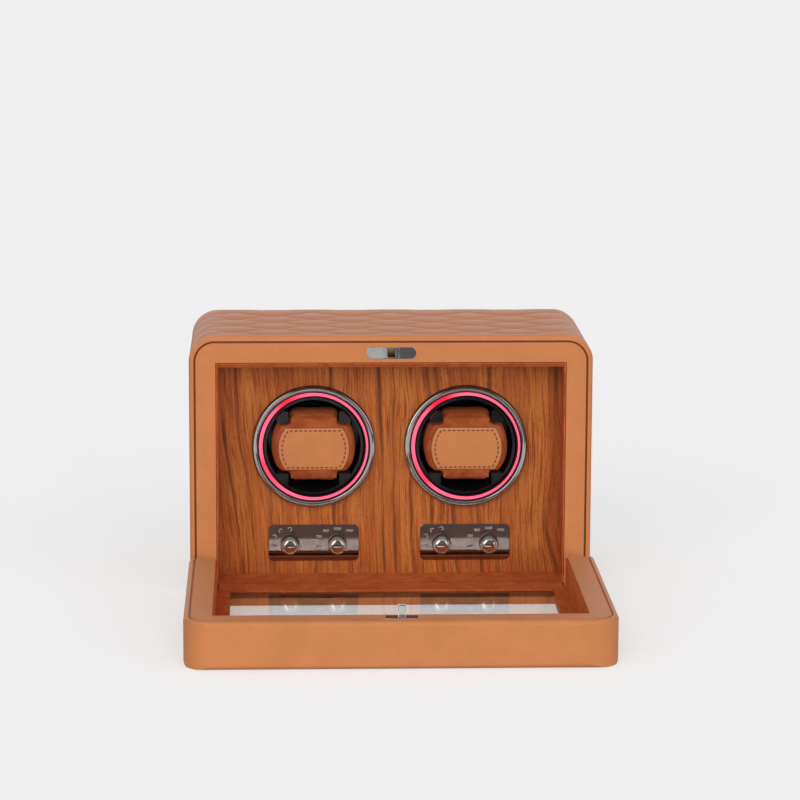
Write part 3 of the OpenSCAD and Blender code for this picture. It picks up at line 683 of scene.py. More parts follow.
class Palette:
    """Every finish on the box."""

    # The rim's leather carries painted shade along its groove.
    rim = Leather("rim_leather", (0.53, 0.190, 0.068), seam=Seam())
    lid = Leather("lid_leather", (0.545, 0.203, 0.073))
    # The quilt's leather carries painted shade in its creases.
    quilt = Leather("quilt_leather", (0.48, 0.172, 0.068), 0.42, (0.26, 0.08, 0.03), depth=0.06,
                    creased=True)
    patch = Leather("patch_leather", (0.50, 0.178, 0.066), depth=0.06)
    cut_edge = Leather("cut_edge", (0.6, 0.32, 0.17), 0.6, (0.4, 0.18, 0.08), 1800.0, 0.1)
    # The lining carries a painted shade line along its fold at the rim.
    suede = Suede("lining_suede", (0.41, 0.079, 0.020), 0.95, (0.54, 0.122, 0.037), sheen=0.3,
                  fold_y=-1.5)
    welt = Suede("welt_suede", (0.27, 0.052, 0.014), 0.95, (0.36, 0.08, 0.025), sheen=0.3)
    cushion = Suede("cushion_suede", (0.27, 0.058, 0.015), 0.95, (0.36, 0.088, 0.03))
    felt = Suede("felt", (0.05, 0.045, 0.045), 0.95, (0.08, 0.075, 0.07), 1800.0, 0.3)
    fascia = Wood("fascia_wood", (0.29, 0.060, 0.012), 0.5, (0.485, 0.149, 0.033),
                  (0.065, 0.014, 0.005))
    board = Wood("carcass_board", (0.30, 0.10, 0.035), 0.7, (0.42, 0.15, 0.055),
                 (0.2, 0.06, 0.02), 60.0, 0.0)
    chrome = Metal("chrome", (0.82, 0.81, 0.80), 0.05, 0.01)
    ring = Metal("ring_chrome", (0.62, 0.62, 0.63), 0.04, 0.01)
    nickel = Metal("smoked_nickel", (0.39, 0.30, 0.27), 0.03, 0.0)
    dark_edge = Metal("dark_chrome", (0.2, 0.2, 0.21), 0.2, 0.02)
    steel = Metal("screw_steel", (0.55, 0.55, 0.56), 0.3, 0.15)
    brass = Metal("hinge_brass", (0.72, 0.48, 0.22), 0.25, 0.1)
    bronze = Metal("bush_bronze", (0.5, 0.3, 0.14), 0.45, 0.1)
    plated = Metal("motor_steel", (0.5, 0.5, 0.52), 0.35, 0.1)
    # Near-black that paints shade: round the bezels' base and in the valleys between the knobs' teeth.
    seat = Finish("blackened_seat", (0.012, 0.011, 0.011), 0.55)
    # Dark bar that paints the shade in the gap between the collar and the lining.
    joint = Finish("lining_joint", (0.11, 0.022, 0.007), 0.9)
    black = Finish("black_plastic", (0.012, 0.012, 0.013), 0.4)
    gloss = Finish("gloss_black", (0.006, 0.006, 0.008), 0.12)
    nylon = Finish("nylon", (0.6, 0.6, 0.57), 0.5)
    circuit = Finish("circuit_board", (0.01, 0.10, 0.04), 0.45)
    rubber = Finish("belt_rubber", (0.015, 0.015, 0.015), 0.8)
    thread = Finish("dark_thread", (0.10, 0.028, 0.010), 0.8)
    ink = Finish("pale_ink", (0.42, 0.38, 0.36), 0.6)
    dark_ink = Finish("dark_ink", (0.05, 0.03, 0.03), 0.6)
    glow = Glow("light_ring", (0.9, 0.10, 0.19), 0.4, (0.9, 0.004, 0.03), 0.6)
    glass = ClearGlass("pane_glass", (1.0, 1.0, 1.0), 0.0)


# Each finish's CAD nodes; a star stands for a left and a right one.
DRESSED: tuple[tuple[Finish, tuple[str, ...]], ...] = (
    (Palette.felt, ("base_felt",)),
    (Palette.board, ("case_carcass", "fascia_battens")),
    (Palette.fascia, ("wood_fascia",)),
    (Palette.quilt, ("quilted_wrap",)),
    (Palette.lid, ("back_panel", "lid_frame")),
    (Palette.rim, ("front_collar",)),
    (Palette.suede, ("case_lining", "lid_lining", "pane_retainer")),
    (Palette.cushion, ("cushion_*",)),
    (Palette.patch, ("cushion_patch_*",)),
    (Palette.steel, ("back_panel_screws", "housing_screws", "drum_shaft_*", "hinge_pin")),
    (Palette.black, ("power_inlet", "rotary_switches_*", "winder_housing_*")),
    (Palette.circuit, ("control_board", "lamp_board_*")),
    (Palette.chrome, ("bezel_*", "control_plate_*", "direction_knob_*", "turns_knob_*",
                      "strike_plate", "lid_keeper")),
    (Palette.glow, ("light_ring_*",)),
    (Palette.bronze, ("shaft_bushes",)),
    (Palette.gloss, ("drum_cup_*",)),
    (Palette.nylon, ("drum_pulley_*", "motor_pulley_*")),
    (Palette.rubber, ("drive_belt_*",)),
    (Palette.plated, ("motor_*", "motor_bracket_*", "catch_box")),
    (Palette.brass, ("catch_clip", "hinge_case_leaf", "hinge_lid_leaf", "hinge_screws_case",
                     "hinge_screws_lid")),
    (Palette.glass, ("glass_pane",)),
)


# ---------------------------------------------------------------- mesh building


def linked(name: str, data: Any) -> bpy.types.Object:
    """Makes an object and puts it in the scene.

    Args:
        name: The object's name.
        data: Its mesh, curve, camera or light.

    Returns:
        The object.
    """
    made = bpy.data.objects.new(name, data)
    bpy.context.scene.collection.objects.link(made)
    return made


def meshed(bm: bmesh.types.BMesh, name: str) -> bpy.types.Mesh:
    """Turns a bmesh into a mesh and frees it.

    Args:
        bm: The shape.
        name: The mesh's name.

    Returns:
        The mesh.
    """
    mesh = bpy.data.meshes.new(name)
    bm.to_mesh(mesh)
    bm.free()
    return mesh


def evaluated(holder: bpy.types.Object) -> bpy.types.Mesh:
    """Reads an object's mesh with its modifiers or its text worked out."""
    graph = bpy.context.evaluated_depsgraph_get()
    return bpy.data.meshes.new_from_object(holder.evaluated_get(graph))


def finished(bm: bmesh.types.BMesh, name: str, finish: Finish, body: str,
             replaced: Sequence[str] = (), sharp: float = 35.0) -> bpy.types.Object:
    """Turns a bmesh into a dressed piece that rides on a body.

    Args:
        bm: The shape, in metres in the part's frame; it is freed.
        name: The piece's name.
        finish: Its finish.
        body: The CAD body that it rides on.
        replaced: CAD nodes that it stands for.
        sharp: Angle in degrees above which an edge shades sharp.

    Returns:
        The piece.
    """
    mesh = meshed(bm, name)
    mesh.shade_smooth()
    mesh.set_sharp_from_angle(angle=math.radians(sharp))
    mesh.materials.append(finish.material())
    piece = linked(name, mesh)
    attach(piece, body)
    if replaced:
        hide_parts(*replaced)
    LOG.info("%s: %d faces", name, len(mesh.polygons))
    return piece


def two_toned(piece: bpy.types.Object, finish: Finish,
              chosen: Callable[[bpy.types.MeshPolygon], bool]) -> None:
    """Gives a second finish to the faces that a test picks.

    Args:
        piece: The piece.
        finish: The second finish.
        chosen: Says whether a face takes it.
    """
    piece.data.materials.append(finish.material())
    for face in piece.data.polygons:
        face.material_index = int(chosen(face))


def applied(piece: bpy.types.Object, kind: str, **settings: Any) -> None:
    """Adds a modifier to a piece and applies it.

    Args:
        piece: The object to change.
        kind: The modifier's type.
        **settings: Its attributes.
    """
    modifier = piece.modifiers.new(kind.lower(), kind)
    for key, value in settings.items():
        setattr(modifier, key, value)
    mesh = evaluated(piece)
    piece.modifiers.clear()
    old, piece.data = piece.data, mesh
    bpy.data.meshes.remove(old)


def rounded(bm: bmesh.types.BMesh, edges: Sequence[bmesh.types.BMEdge], width: float,
            segments: int, clamp: bool = False) -> None:
    """Rounds some edges.

    Args:
        bm: The shape.
        edges: The edges to round.
        width: The rounding's width in millimetres.
        segments: Faces across it.
        clamp: Whether it stops where two roundings meet.
    """
    bmesh.ops.bevel(bm, geom=edges, offset=width * MM, offset_type="OFFSET", affect="EDGES",
                    segments=segments, profile=0.5, material=-1, clamp_overlap=clamp)


def shifted(bm: bmesh.types.BMesh, way: Vector) -> None:
    """Moves a whole shape."""
    bmesh.ops.translate(bm, vec=way, verts=bm.verts)


def block(bm: bmesh.types.BMesh, size: Sequence[float]) -> list[bmesh.types.BMVert]:
    """Adds a box about the origin, with its size in millimetres.

    Args:
        bm: The shape to add to.
        size: The box's width, depth and height.

    Returns:
        Its corners.
    """
    corners = bmesh.ops.create_cube(bm, size=1.0)["verts"]
    bmesh.ops.scale(bm, vec=Vector(size) * MM, verts=corners)
    return corners


def trimmed(bm: bmesh.types.BMesh, half: float, capped: bool) -> None:
    """Cuts off what is higher or lower than a half height.

    Args:
        bm: The shape about the origin.
        half: The half height in millimetres.
        capped: Whether the cuts are closed.
    """
    for sign in (-1, 1):
        cut = bmesh.ops.bisect_plane(bm, geom=[*bm.verts, *bm.edges, *bm.faces], clear_outer=True,
                                     plane_co=(0, 0, sign * half * MM), plane_no=(0, 0, sign))
        if capped:
            open_edges = [e for e in cut["geom_cut"] if isinstance(e, bmesh.types.BMEdge)]
            bmesh.ops.holes_fill(bm, edges=open_edges)


def spun(profile: Profile, centre: Vector, steps: int = 128,
         closed: bool = True) -> bmesh.types.BMesh:
    """Turns a profile about an axis along y.

    Args:
        profile: Radius and depth behind the rim of each point, in millimetres.
        centre: A point on the axis, in metres.
        steps: Steps in the full turn.
        closed: Whether the profile's last point joins its first.

    Returns:
        The turned shape.
    """
    bm = bmesh.new()
    verts = [bm.verts.new(Vector((centre.x + r * MM, (y + RIM_Y) * MM, centre.z)))
             for r, y in profile]
    pairs = list(zip(verts, verts[1:])) + ([(verts[-1], verts[0])] if closed else [])
    edges = [bm.edges.new(pair) for pair in pairs]
    bmesh.ops.spin(bm, geom=verts + edges, cent=centre, axis=(0, 1, 0), angle=math.tau,
                   steps=steps, use_merge=True)
    bmesh.ops.remove_doubles(bm, verts=bm.verts, dist=1e-6)
    bmesh.ops.recalc_face_normals(bm, faces=bm.faces)
    return bm


def softened(node: bpy.types.Object, width: float) -> bmesh.types.BMesh:
    """Copies a CAD node's shape and rounds its edges.

    Args:
        node: The CAD node.
        width: The rounding's width in millimetres.

    Returns:
        The rounded copy.
    """
    flat, hard_turn = math.radians(0.5), math.radians(40)
    bm = bmesh.new()
    bm.from_mesh(node.data)
    bmesh.ops.remove_doubles(bm, verts=bm.verts, dist=2e-6)
    bmesh.ops.dissolve_limit(bm, angle_limit=flat, verts=bm.verts, edges=bm.edges)
    hard = [e for e in bm.edges if len(e.link_faces) == 2 and e.calc_face_angle(0) > hard_turn]
    rounded(bm, hard, width, 2, clamp=True)
    bmesh.ops.recalc_face_normals(bm, faces=bm.faces)
    return bm


def copied(node: bpy.types.Object, name: str, width: float, finish: Finish, body: str) -> bpy.types.Object:
    """Replaces a CAD node by its rounded copy, whose faces along the axes shade flat.

    Args:
        node: The CAD node.
        name: The copy's name.
        width: The rounding's width in millimetres.
        finish: Its finish.
        body: The CAD body that it rides on.

    Returns:
        The copy.
    """
    piece = finished(softened(node, width), name, finish, body, [node.name])
    for face in piece.data.polygons:
        face.use_smooth = max(abs(c) for c in face.normal) < 0.9999
    return piece


# ---------------------------------------------------------------- the case's cover


@dataclass
class QuiltedCover:
    """Padded cover of the case, sewn in diamonds over its top, sides and back."""

    half_w: float = 140.0
    height: float = 182.0
    depth: float = 136.0
    corner: float = 18.0
    back_round: float = 20.0
    foot: float = 4.0
    floor: float = 1.0
    start: float = 8.0
    pitch: float = 56.3
    row: float = 28.1
    shift: float = 2.5
    columns: int = 420
    rows: int = 93
    back_columns: int = 160
    back_rows: int = 108
    step: float = 1.5
    phase: float = 0.43
    valley: float = -1.9
    crown: float = 0.1
    skin: float = 1.0
    panel_half_w: float = 95.2
    panel_low: float = 26.8
    panel_high: float = 157.2
    panel_corner: float = 6.2
    sewn_strip: float = 5.0
    side_strip: float = 6.0
    turned_strip: float = 28.0
    back_taut: float = 16.0
    side_taut: float = 22.0
    ripple: float = 0.15
    ripple_scale: float = 0.07
    seam_share: float = 0.35
    dome_power: float = 0.6
    under_turn: float = 0.033

    def outline(self, s: float, inset: float) -> tuple[float, float, float, float]:
        """Finds a point on the cover's cross-section.

        Args:
            s: Distance along the leather from the top's middle.
            inset: How far the section is drawn in.

        Returns:
            The point's x and z and its outward normal's x and z.
        """
        sign, s = (1.0 if s >= 0 else -1.0), abs(s)
        flat = self.half_w - self.corner
        arc = self.corner * QUARTER
        side = self.height - self.corner - self.floor - self.foot
        sharp = max(inset - self.corner, 0.0)
        radius = max(self.corner - inset, 0.0)
        cx, cz = flat - sharp, self.height - self.corner - sharp
        if s <= flat:
            return sign * s * cx / flat, self.height - inset, 0.0, 1.0
        s -= flat
        if s <= arc:
            a = s / self.corner
            n = (math.sin(a), math.cos(a))
            return sign * (cx + radius * n[0]), cz + radius * n[1], sign * n[0], n[1]
        s -= arc
        x = self.half_w - inset
        low = self.floor + self.foot
        if s <= side:
            return sign * x, cz - s * (cz - low) / side, sign, 0.0
        a = min((s - side) / self.foot, QUARTER)
        x, z = x - self.foot * (1 - math.cos(a)), low - self.foot * math.sin(a)
        return sign * x, z, sign * math.cos(a), -math.sin(a)

    def loft(self, s: float, t: float, edge: float) -> tuple[float, float]:
        """Works out the padding's height and crease.

        Args:
            s: Distance along the leather from the top's middle.
            t: Distance over the top from the front, in line with the depth.
            edge: Distance to the nearest sewn edge.

        Returns:
            Height above the plain surface in millimetres, and one in a crease.
        """
        p, q = (s - self.shift) / self.pitch, (t - self.start) / self.row + self.phase
        a, b = abs(math.sin(math.pi * (p + q))), abs(math.sin(math.pi * (p - q)))
        cut = (1 - (1 - a) ** 3) * (1 - (1 - b) ** 3)
        dome = (a * b) ** self.dome_power
        pillow = self.seam_share * cut + (1 - self.seam_share) * dome
        tight = max(self.tautness(t - self.depth + self.back_round, self.back_taut),
                    0.6 * self.tautness(abs(s) - self.half_w + self.corner / 2, self.side_taut))
        tight = max(tight, 1 - smooth_step(edge, -0.5, self.sewn_strip))
        uneven = 1 + noise.noise(Vector((s, t, 3.0)) * self.ripple_scale) * self.ripple
        drop = (1 - pillow) * (1 - 0.8 * tight) * uneven
        return self.crown + (self.valley - self.crown) * drop, 1.0 - min(a, b)

    def tautness(self, off: float, reach: float) -> float:
        """Says how far the leather is pulled flat round a bend."""
        return 1.0 - smooth_step(abs(off), reach * 0.3, reach)

    def sheet(self, columns: int, rows: int) -> tuple[bmesh.types.BMesh, Any]:
        """Starts a leather sheet of two by two, with a layer for its creases.

        Args:
            columns: Faces across it.
            rows: Faces along it.

        Returns:
            The sheet and its crease layer.
        """
        bm = bmesh.new()
        bmesh.ops.create_grid(bm, x_segments=columns, y_segments=rows, size=1.0)
        return bm, bm.verts.layers.float.new("crease")

    def skinned(self, bm: bmesh.types.BMesh, name: str) -> bpy.types.Object:
        """Turns a sheet outwards, dresses it and gives it its thickness.

        Args:
            bm: The sheet; it is freed.
            name: The piece's name.

        Returns:
            The piece.
        """
        bmesh.ops.recalc_face_normals(bm, faces=bm.faces)
        middle = place(0, self.depth / 2, self.height / 2)
        outward = sum((f.calc_center_median() - middle).dot(f.normal) * f.calc_area()
                      for f in bm.faces)
        if outward < 0:
            bmesh.ops.reverse_faces(bm, faces=bm.faces)
        piece = finished(bm, name, Palette.quilt, "case", ["quilted_wrap"], 70)
        applied(piece, "SOLIDIFY", thickness=self.skin * MM, offset=-1.0)
        return piece

    def wrap(self) -> None:
        """Builds the cover of the top and sides, round the back edges."""
        bm, crease = self.sheet(self.columns, self.rows)
        bend = self.depth - self.back_round
        reach = self.columns * self.step / 2
        for v in bm.verts:
            s = v.co.x * reach
            t = self.start + (v.co.y + 1) / 2 * self.rows * self.step
            turn = min(max(t - bend, 0.0) / self.back_round, QUARTER)
            inset = self.back_round * (1 - math.cos(turn))
            x, z, nx, nz = self.outline(s, inset)
            y = min(t, bend) + self.back_round * math.sin(turn)
            edge = min(t - self.start, reach - self.sewn_strip - abs(s))
            if abs(s) > self.half_w - self.corner:
                edge = min(edge, max(bend + self.turned_strip - t, 0.0))
            rise, v[crease] = self.loft(s, t, edge)
            normal = Vector((nx * math.cos(turn), math.sin(turn), nz * math.cos(turn)))
            v.co = place(x, y, z) + normal * rise * MM
        bmesh.ops.remove_doubles(bm, verts=bm.verts, dist=1e-5)
        self.skinned(bm, "quilted_cover")

    def back(self) -> None:
        """Builds the cover of the back, round the service panel."""
        bm, crease = self.sheet(self.back_columns, self.back_rows)
        half, top = self.half_w - self.back_round, self.height - self.back_round
        start = self.start + self.rows * self.step
        stretch = (self.half_w - self.corner) / half
        for v in bm.verts:
            x = v.co.x * half
            z = top - (1 - v.co.y) / 2 * (top - self.floor)
            aside = max(abs(x) - self.panel_half_w, 0.0)
            above = max(z - self.panel_high, self.panel_low - z, 0.0)
            edge = min(math.hypot(aside, above), half - abs(x) + self.side_strip, z - self.floor)
            rise, v[crease] = self.loft(x * stretch, start + (top - z), edge)
            if z < self.floor + self.foot:
                x *= 1 - self.under_turn * ((self.floor + self.foot - z) / self.foot) ** 2
            v.co = place(x, self.depth + rise, z)
        piece = self.skinned(bm, "quilted_back")
        cutter = self.panel_cutter()
        applied(piece, "BOOLEAN", operation="DIFFERENCE", object=cutter, solver="EXACT")
        bpy.data.objects.remove(cutter)

    def panel_cutter(self) -> bpy.types.Object:
        """Makes the rounded block that opens the back for its panel.

        Returns:
            The block.
        """
        bm = bmesh.new()
        block(bm, (self.panel_half_w * 2, 30, self.panel_high - self.panel_low))
        ways = [(e, (e.verts[0].co - e.verts[1].co).normalized()) for e in bm.edges]
        rounded(bm, [e for e, way in ways if abs(way.y) > 0.9], self.panel_corner, 8)
        shifted(bm, place(0, self.depth, (self.panel_high + self.panel_low) / 2))
        return linked("cutter", meshed(bm, "cutter"))

    def build(self) -> None:
        """Builds the whole cover."""
        self.wrap()
        self.back()


@dataclass
class LiningEdge:
    """The lining's turned edge round the opening: a slim roll, and beside it a dark bar that paints the
    shade of the gap between collar and lining.
    """

    lining: bpy.types.Object
    lining_t: float = 1.2
    foot: float = 12.0
    overlap: float = 0.2
    rounding: float = 0.14

    def bars(self, name: str, finish: Finish, top: tuple[float, float],
             side: tuple[float, float], near: float, far: float) -> None:
        """Builds three bars along the walls and the ceiling.

        Args:
            name: The piece's name.
            finish: Its finish.
            top: How far the ceiling's bar reaches below and above the lining's inner face.
            side: The same for the walls' bars, inwards and outwards.
            near: The bars' front, behind the rim.
            far: Their back.
        """
        half = max(c[0] for c in self.lining.bound_box) / MM - self.lining_t
        crown = max(c[2] for c in self.lining.bound_box) / MM - self.lining_t
        wall_top = crown + top[0] + self.overlap
        spans = [((-half - side[1], crown + top[0]), (half + side[1], crown + top[1])),
                 ((-half - side[1], self.foot), (-half - side[0], wall_top)),
                 ((half + side[0], self.foot), (half + side[1], wall_top))]
        bm = bmesh.new()
        for low, high in spans:
            size = Vector((high[0] - low[0], far - near, high[1] - low[1])) * MM
            middle = place((low[0] + high[0]) / 2, (near + far) / 2, (low[1] + high[1]) / 2)
            spot = Matrix.Translation(middle) @ Matrix.Diagonal(size.to_4d())
            bmesh.ops.create_cube(bm, size=1.0, matrix=spot)
        rounded(bm, bm.edges[:], self.rounding * (side[1] - side[0]), 3, clamp=True)
        finished(bm, name, finish, "case")

    def build(self) -> None:
        """Builds the roll and the dark bar of painted gap shade."""
        self.bars("lining_welt", Palette.welt, (-2.2, 0.3), (-0.9, 0.3), 0.7, 5.7)
        # A dark bar of painted shade in the gap under the collar's edge.
        self.bars("lining_joint", Palette.joint, (0.7, 1.25), (0.7, 1.25), -0.03, 0.6)


@dataclass
class Catch:
    """The strike plate on the case and the keeper on the lid, with fine edges."""

    nodes: dict[str, bpy.types.Object]
    edge: float = 0.3

    def build(self) -> None:
        """Builds both pieces; the keeper's top is dark."""
        copied(self.nodes["strike_plate"], "strike", self.edge, Palette.ring, "case")
        keeper = copied(self.nodes["lid_keeper"], "keeper", self.edge, Palette.chrome, "lid")
        two_toned(keeper, Palette.dark_edge, lambda face: face.normal.z > 0.9)


# ---------------------------------------------------------------- winders


@dataclass
class Winder:
    """One rotor: chrome bezel, light ring, black cup, cushion and patch."""

    side: Side
    nodes: dict[str, bpy.types.Object]
    axis_x = 53.5
    axis_z = 99.5
    bezel_out: float = 43.2
    bezel_in: float = 38.85
    bezel_front: float = 21.8
    fascia: float = 27.0
    foot_in: float = 0.35
    foot_wide: float = 3.4
    glow_in: float = 35.8
    glow_out: float = 38.3
    glow_front: float = 23.8
    glow_chamfer: float = 0.3
    cup_edge: float = 0.5
    cushion_front: float = 16.0
    cushion_back: float = 58.0
    cushion_r: float = 30.0
    middle_h: float = 35.6
    band_w: float = 35.0
    band_h: float = 47.0
    stuffing: float = 0.9
    seam_w: float = 1.6
    seam_depth: float = 0.8
    seam_reach: float = 3.5
    patch_r: float = 24.5
    patch_h: float = 29.0
    patch_t: float = 1.2
    patch_edge: float = 0.45
    stitch_inset: float = 2.376
    stitch_length: float = 1.9
    stitch_pitch: float = 3.35
    thread_w: float = 0.85
    thread_t: float = 0.36
    thread_edge: float = 0.1

    @property
    def centre(self) -> Vector:
        """Point on the rotor's axis in the rim's plane."""
        return place(self.side.sign * self.axis_x, 0, self.axis_z)

    def bezel(self) -> None:
        """Builds the bezel: a dark foot on the fascia, which paints the shade and dark reflection at the
        bezel's base, and a bright round cap over it.
        """
        o, f, base = self.bezel_out, self.bezel_front, self.fascia
        inner, outer = self.bezel_in - self.foot_in, o - self.foot_wide
        foot = [(inner, base), (inner, f + 2.2), (outer, f + 2.2), (outer, f + 1.2),
                (o - 0.3, f + 1.2), (o, f + 1.7), (o, base)]
        # The dark foot paints the shade and dark reflection round the bezel's base.
        finished(spun(foot, self.centre), f"bezel_foot_{self.side.word}", Palette.seat, "case")
        # Inwards from the bezel's outer edge, and back from its front.
        cap = ((0.25, 1.5), (0.25, 1.0), (0.5, 0.65), (1.0, 0.25), (1.6, 0.05), (2.2, 0.0),
               (2.8, 0.1), (3.3, 0.35), (3.6, 0.6), (3.7, 0.9), (3.7, 1.5))
        profile = [(o - inwards, f + behind) for inwards, behind in cap]
        finished(spun(profile, self.centre, 160), f"bezel_ring_{self.side.word}", Palette.ring,
                 "case", [f"bezel_{self.side.word}"], 50)

    def light(self) -> None:
        """Builds the frosted light ring inside the bezel."""
        inner, outer, front, back = self.glow_in, self.glow_out, self.glow_front, self.fascia
        bevel = self.glow_chamfer
        profile = [(inner, back), (inner, front + bevel), (inner + bevel, front), (outer, front),
                   (outer, back)]
        finished(spun(profile, self.centre, 160), f"glow_ring_{self.side.word}", Palette.glow,
                 "case", [f"light_ring_{self.side.word}"])

    def cup(self) -> None:
        """Builds the cup and its cradle with rounded edges."""
        word = self.side.word
        copied(self.nodes[f"drum_cup_{word}"], f"cradle_{word}", self.cup_edge, Palette.gloss,
               f"drum_{word}")

    def cushion_block(self) -> bmesh.types.BMesh:
        """Makes the cushion's plain form: a trimmed round and the strap band across it.

        Returns:
            The form about the origin, smaller by the stuffing's swell.
        """
        less = self.stuffing
        radius = (self.cushion_r - less) * MM
        depth = self.cushion_back - self.cushion_front - 2 * less
        bm = bmesh.new()
        bmesh.ops.create_cone(bm, cap_ends=True, segments=72, radius1=radius, radius2=radius,
                              depth=depth * MM, matrix=Matrix.Rotation(QUARTER, 4, "X"))
        trimmed(bm, self.middle_h / 2 - less, capped=True)
        block(bm, (self.band_w - 2 * less, depth, self.band_h - 2 * less))
        bmesh.ops.recalc_face_normals(bm, faces=bm.faces)
        return bm

    def swollen(self, bm: bmesh.types.BMesh) -> bpy.types.Mesh:
        """Stuffs the plain form: one closed skin, swollen by cloth pressure within a limit.

        The form is enlarged for the cloth, which behaves badly on small things.

        Args:
            bm: The plain form about the origin; it is freed.

        Returns:
            The soft mesh about the origin.
        """
        grow, cap, voxel, pressure, last_frame = 10.0, 1.1 * MM, 1.5 * MM, 4.0, 15
        bmesh.ops.scale(bm, vec=(grow, grow, grow), verts=bm.verts)
        form = linked("cushion_form", meshed(bm, "cushion_form"))
        applied(form, "REMESH", mode="VOXEL", voxel_size=voxel * grow)
        applied(form, "SMOOTH", factor=0.5, iterations=6)
        rest = [v.co.copy() for v in form.data.vertices]
        cloth = form.modifiers.new("cloth", "CLOTH")
        cloth.settings.use_pressure = True
        cloth.settings.uniform_pressure_force = pressure
        cloth.settings.effector_weights.gravity = 0.0
        scene = bpy.context.scene
        for frame in range(1, last_frame + 1):
            scene.frame_set(frame)
        moved = evaluated(form)
        scene.frame_set(1)
        for vert, home in zip(moved.vertices, rest):
            step = vert.co - home
            wave = noise.noise(home * 5.0) * 0.3 * cap * grow
            if step.length > 1e-9:
                step = step.normalized() * (min(step.length, cap * grow) + wave)
            vert.co = (home + step) / grow
        bpy.data.objects.remove(form)
        return moved

    def cushion(self) -> None:
        """Builds the soft cushion in its place; both cushions share one stuffed form."""
        word = self.side.word
        mesh = bpy.data.meshes.get("cushion_soft")
        if mesh is None:
            mesh = self.swollen(self.cushion_block())
            mesh.name = "cushion_soft"
        bm = bmesh.new()
        bm.from_mesh(mesh)
        self.crease_band(bm)
        shifted(bm, self.centre + Vector((0, (self.cushion_front + self.cushion_back) / 2, 0)) * MM)
        piece = finished(bm, f"soft_cushion_{word}", Palette.cushion, f"cushion_{word}",
                         [f"cushion_{word}"], 180)
        applied(piece, "SUBSURF", levels=1, render_levels=1)

    def crease_band(self, bm: bmesh.types.BMesh) -> None:
        """Presses the seams where the strap band crosses the round middle.

        Args:
            bm: The cushion about the origin.
        """
        for v in bm.verts:
            off = abs(abs(v.co.x) / MM - self.band_w / 2)
            near = abs(v.co.z) / MM > self.middle_h / 2 - self.seam_reach
            if v.co.y <= 0 and near and off < self.seam_w:
                v.co.y += self.seam_depth * MM * (1 - off / self.seam_w)

    def patch(self) -> None:
        """Builds the leather patch with its cut edge and stitches."""
        word, thick = self.side.word, self.patch_t * MM
        bm = bmesh.new()
        bmesh.ops.create_circle(bm, cap_ends=True, radius=self.patch_r * MM, segments=96,
                                matrix=Matrix.Rotation(QUARTER, 4, "X"))
        trimmed(bm, self.patch_h / 2, capped=False)
        outline = [v.co.copy() for v in bm.faces[:][0].verts]
        made = bmesh.ops.extrude_face_region(bm, geom=list(bm.faces))["geom"]
        moved = [v for v in made if isinstance(v, bmesh.types.BMVert)]
        bmesh.ops.translate(bm, vec=(0, -thick, 0), verts=moved)
        bmesh.ops.recalc_face_normals(bm, faces=bm.faces)
        front = [e for e in bm.edges if all(v.co.y < -thick / 2 for v in e.verts)]
        rounded(bm, front, self.patch_edge, 3)
        shifted(bm, self.centre + Vector((0, self.cushion_front * MM, 0)))
        piece = finished(bm, f"leather_patch_{word}", Palette.patch, f"cushion_{word}",
                         [f"cushion_patch_{word}"])
        two_toned(piece, Palette.cut_edge, lambda face: abs(face.normal.y) < 0.9)
        self.stitches(outline)

    def stitches(self, outline: Sequence[Vector]) -> None:
        """Sews dashes round the patch, a little inside its edge.

        Args:
            outline: The patch's corners about the rotor's axis, in metres.
        """
        face = self.centre + Vector((0, self.cushion_front - self.patch_t, 0)) * MM
        ring = [p - p.normalized() * self.stitch_inset * MM for p in outline]
        sides = [b - a for a, b in zip(ring, ring[1:] + ring[:1])]
        total = sum(side.length for side in sides)
        number = round(total / (self.stitch_pitch * MM))
        bm = bmesh.new()
        for n in range(number):
            left, k = total * n / number, 0
            while left > sides[k].length:
                left -= sides[k].length
                k += 1
            along = sides[k].normalized()
            dash = block(bm, (self.stitch_length, self.thread_t, self.thread_w))
            turn = Matrix.Rotation(-math.atan2(along.z, along.x), 3, "Y")
            bmesh.ops.rotate(bm, cent=(0, 0, 0), matrix=turn, verts=dash)
            bmesh.ops.translate(bm, vec=ring[k] + along * left + face, verts=dash)
        rounded(bm, list(bm.edges), self.thread_edge, 1)
        finished(bm, f"patch_stitches_{self.side.word}", Palette.thread,
                 f"cushion_{self.side.word}")

    def build(self) -> None:
        """Builds the winder."""
        self.bezel()
        self.light()
        self.cup()
        self.cushion()
        self.patch()


# ---------------------------------------------------------------- controls


class Turning(Enum):
    """The printed arrows: clockwise, the other way, and both."""

    BOTH = 0
    CLOCKWISE = 1
    COUNTER = -1


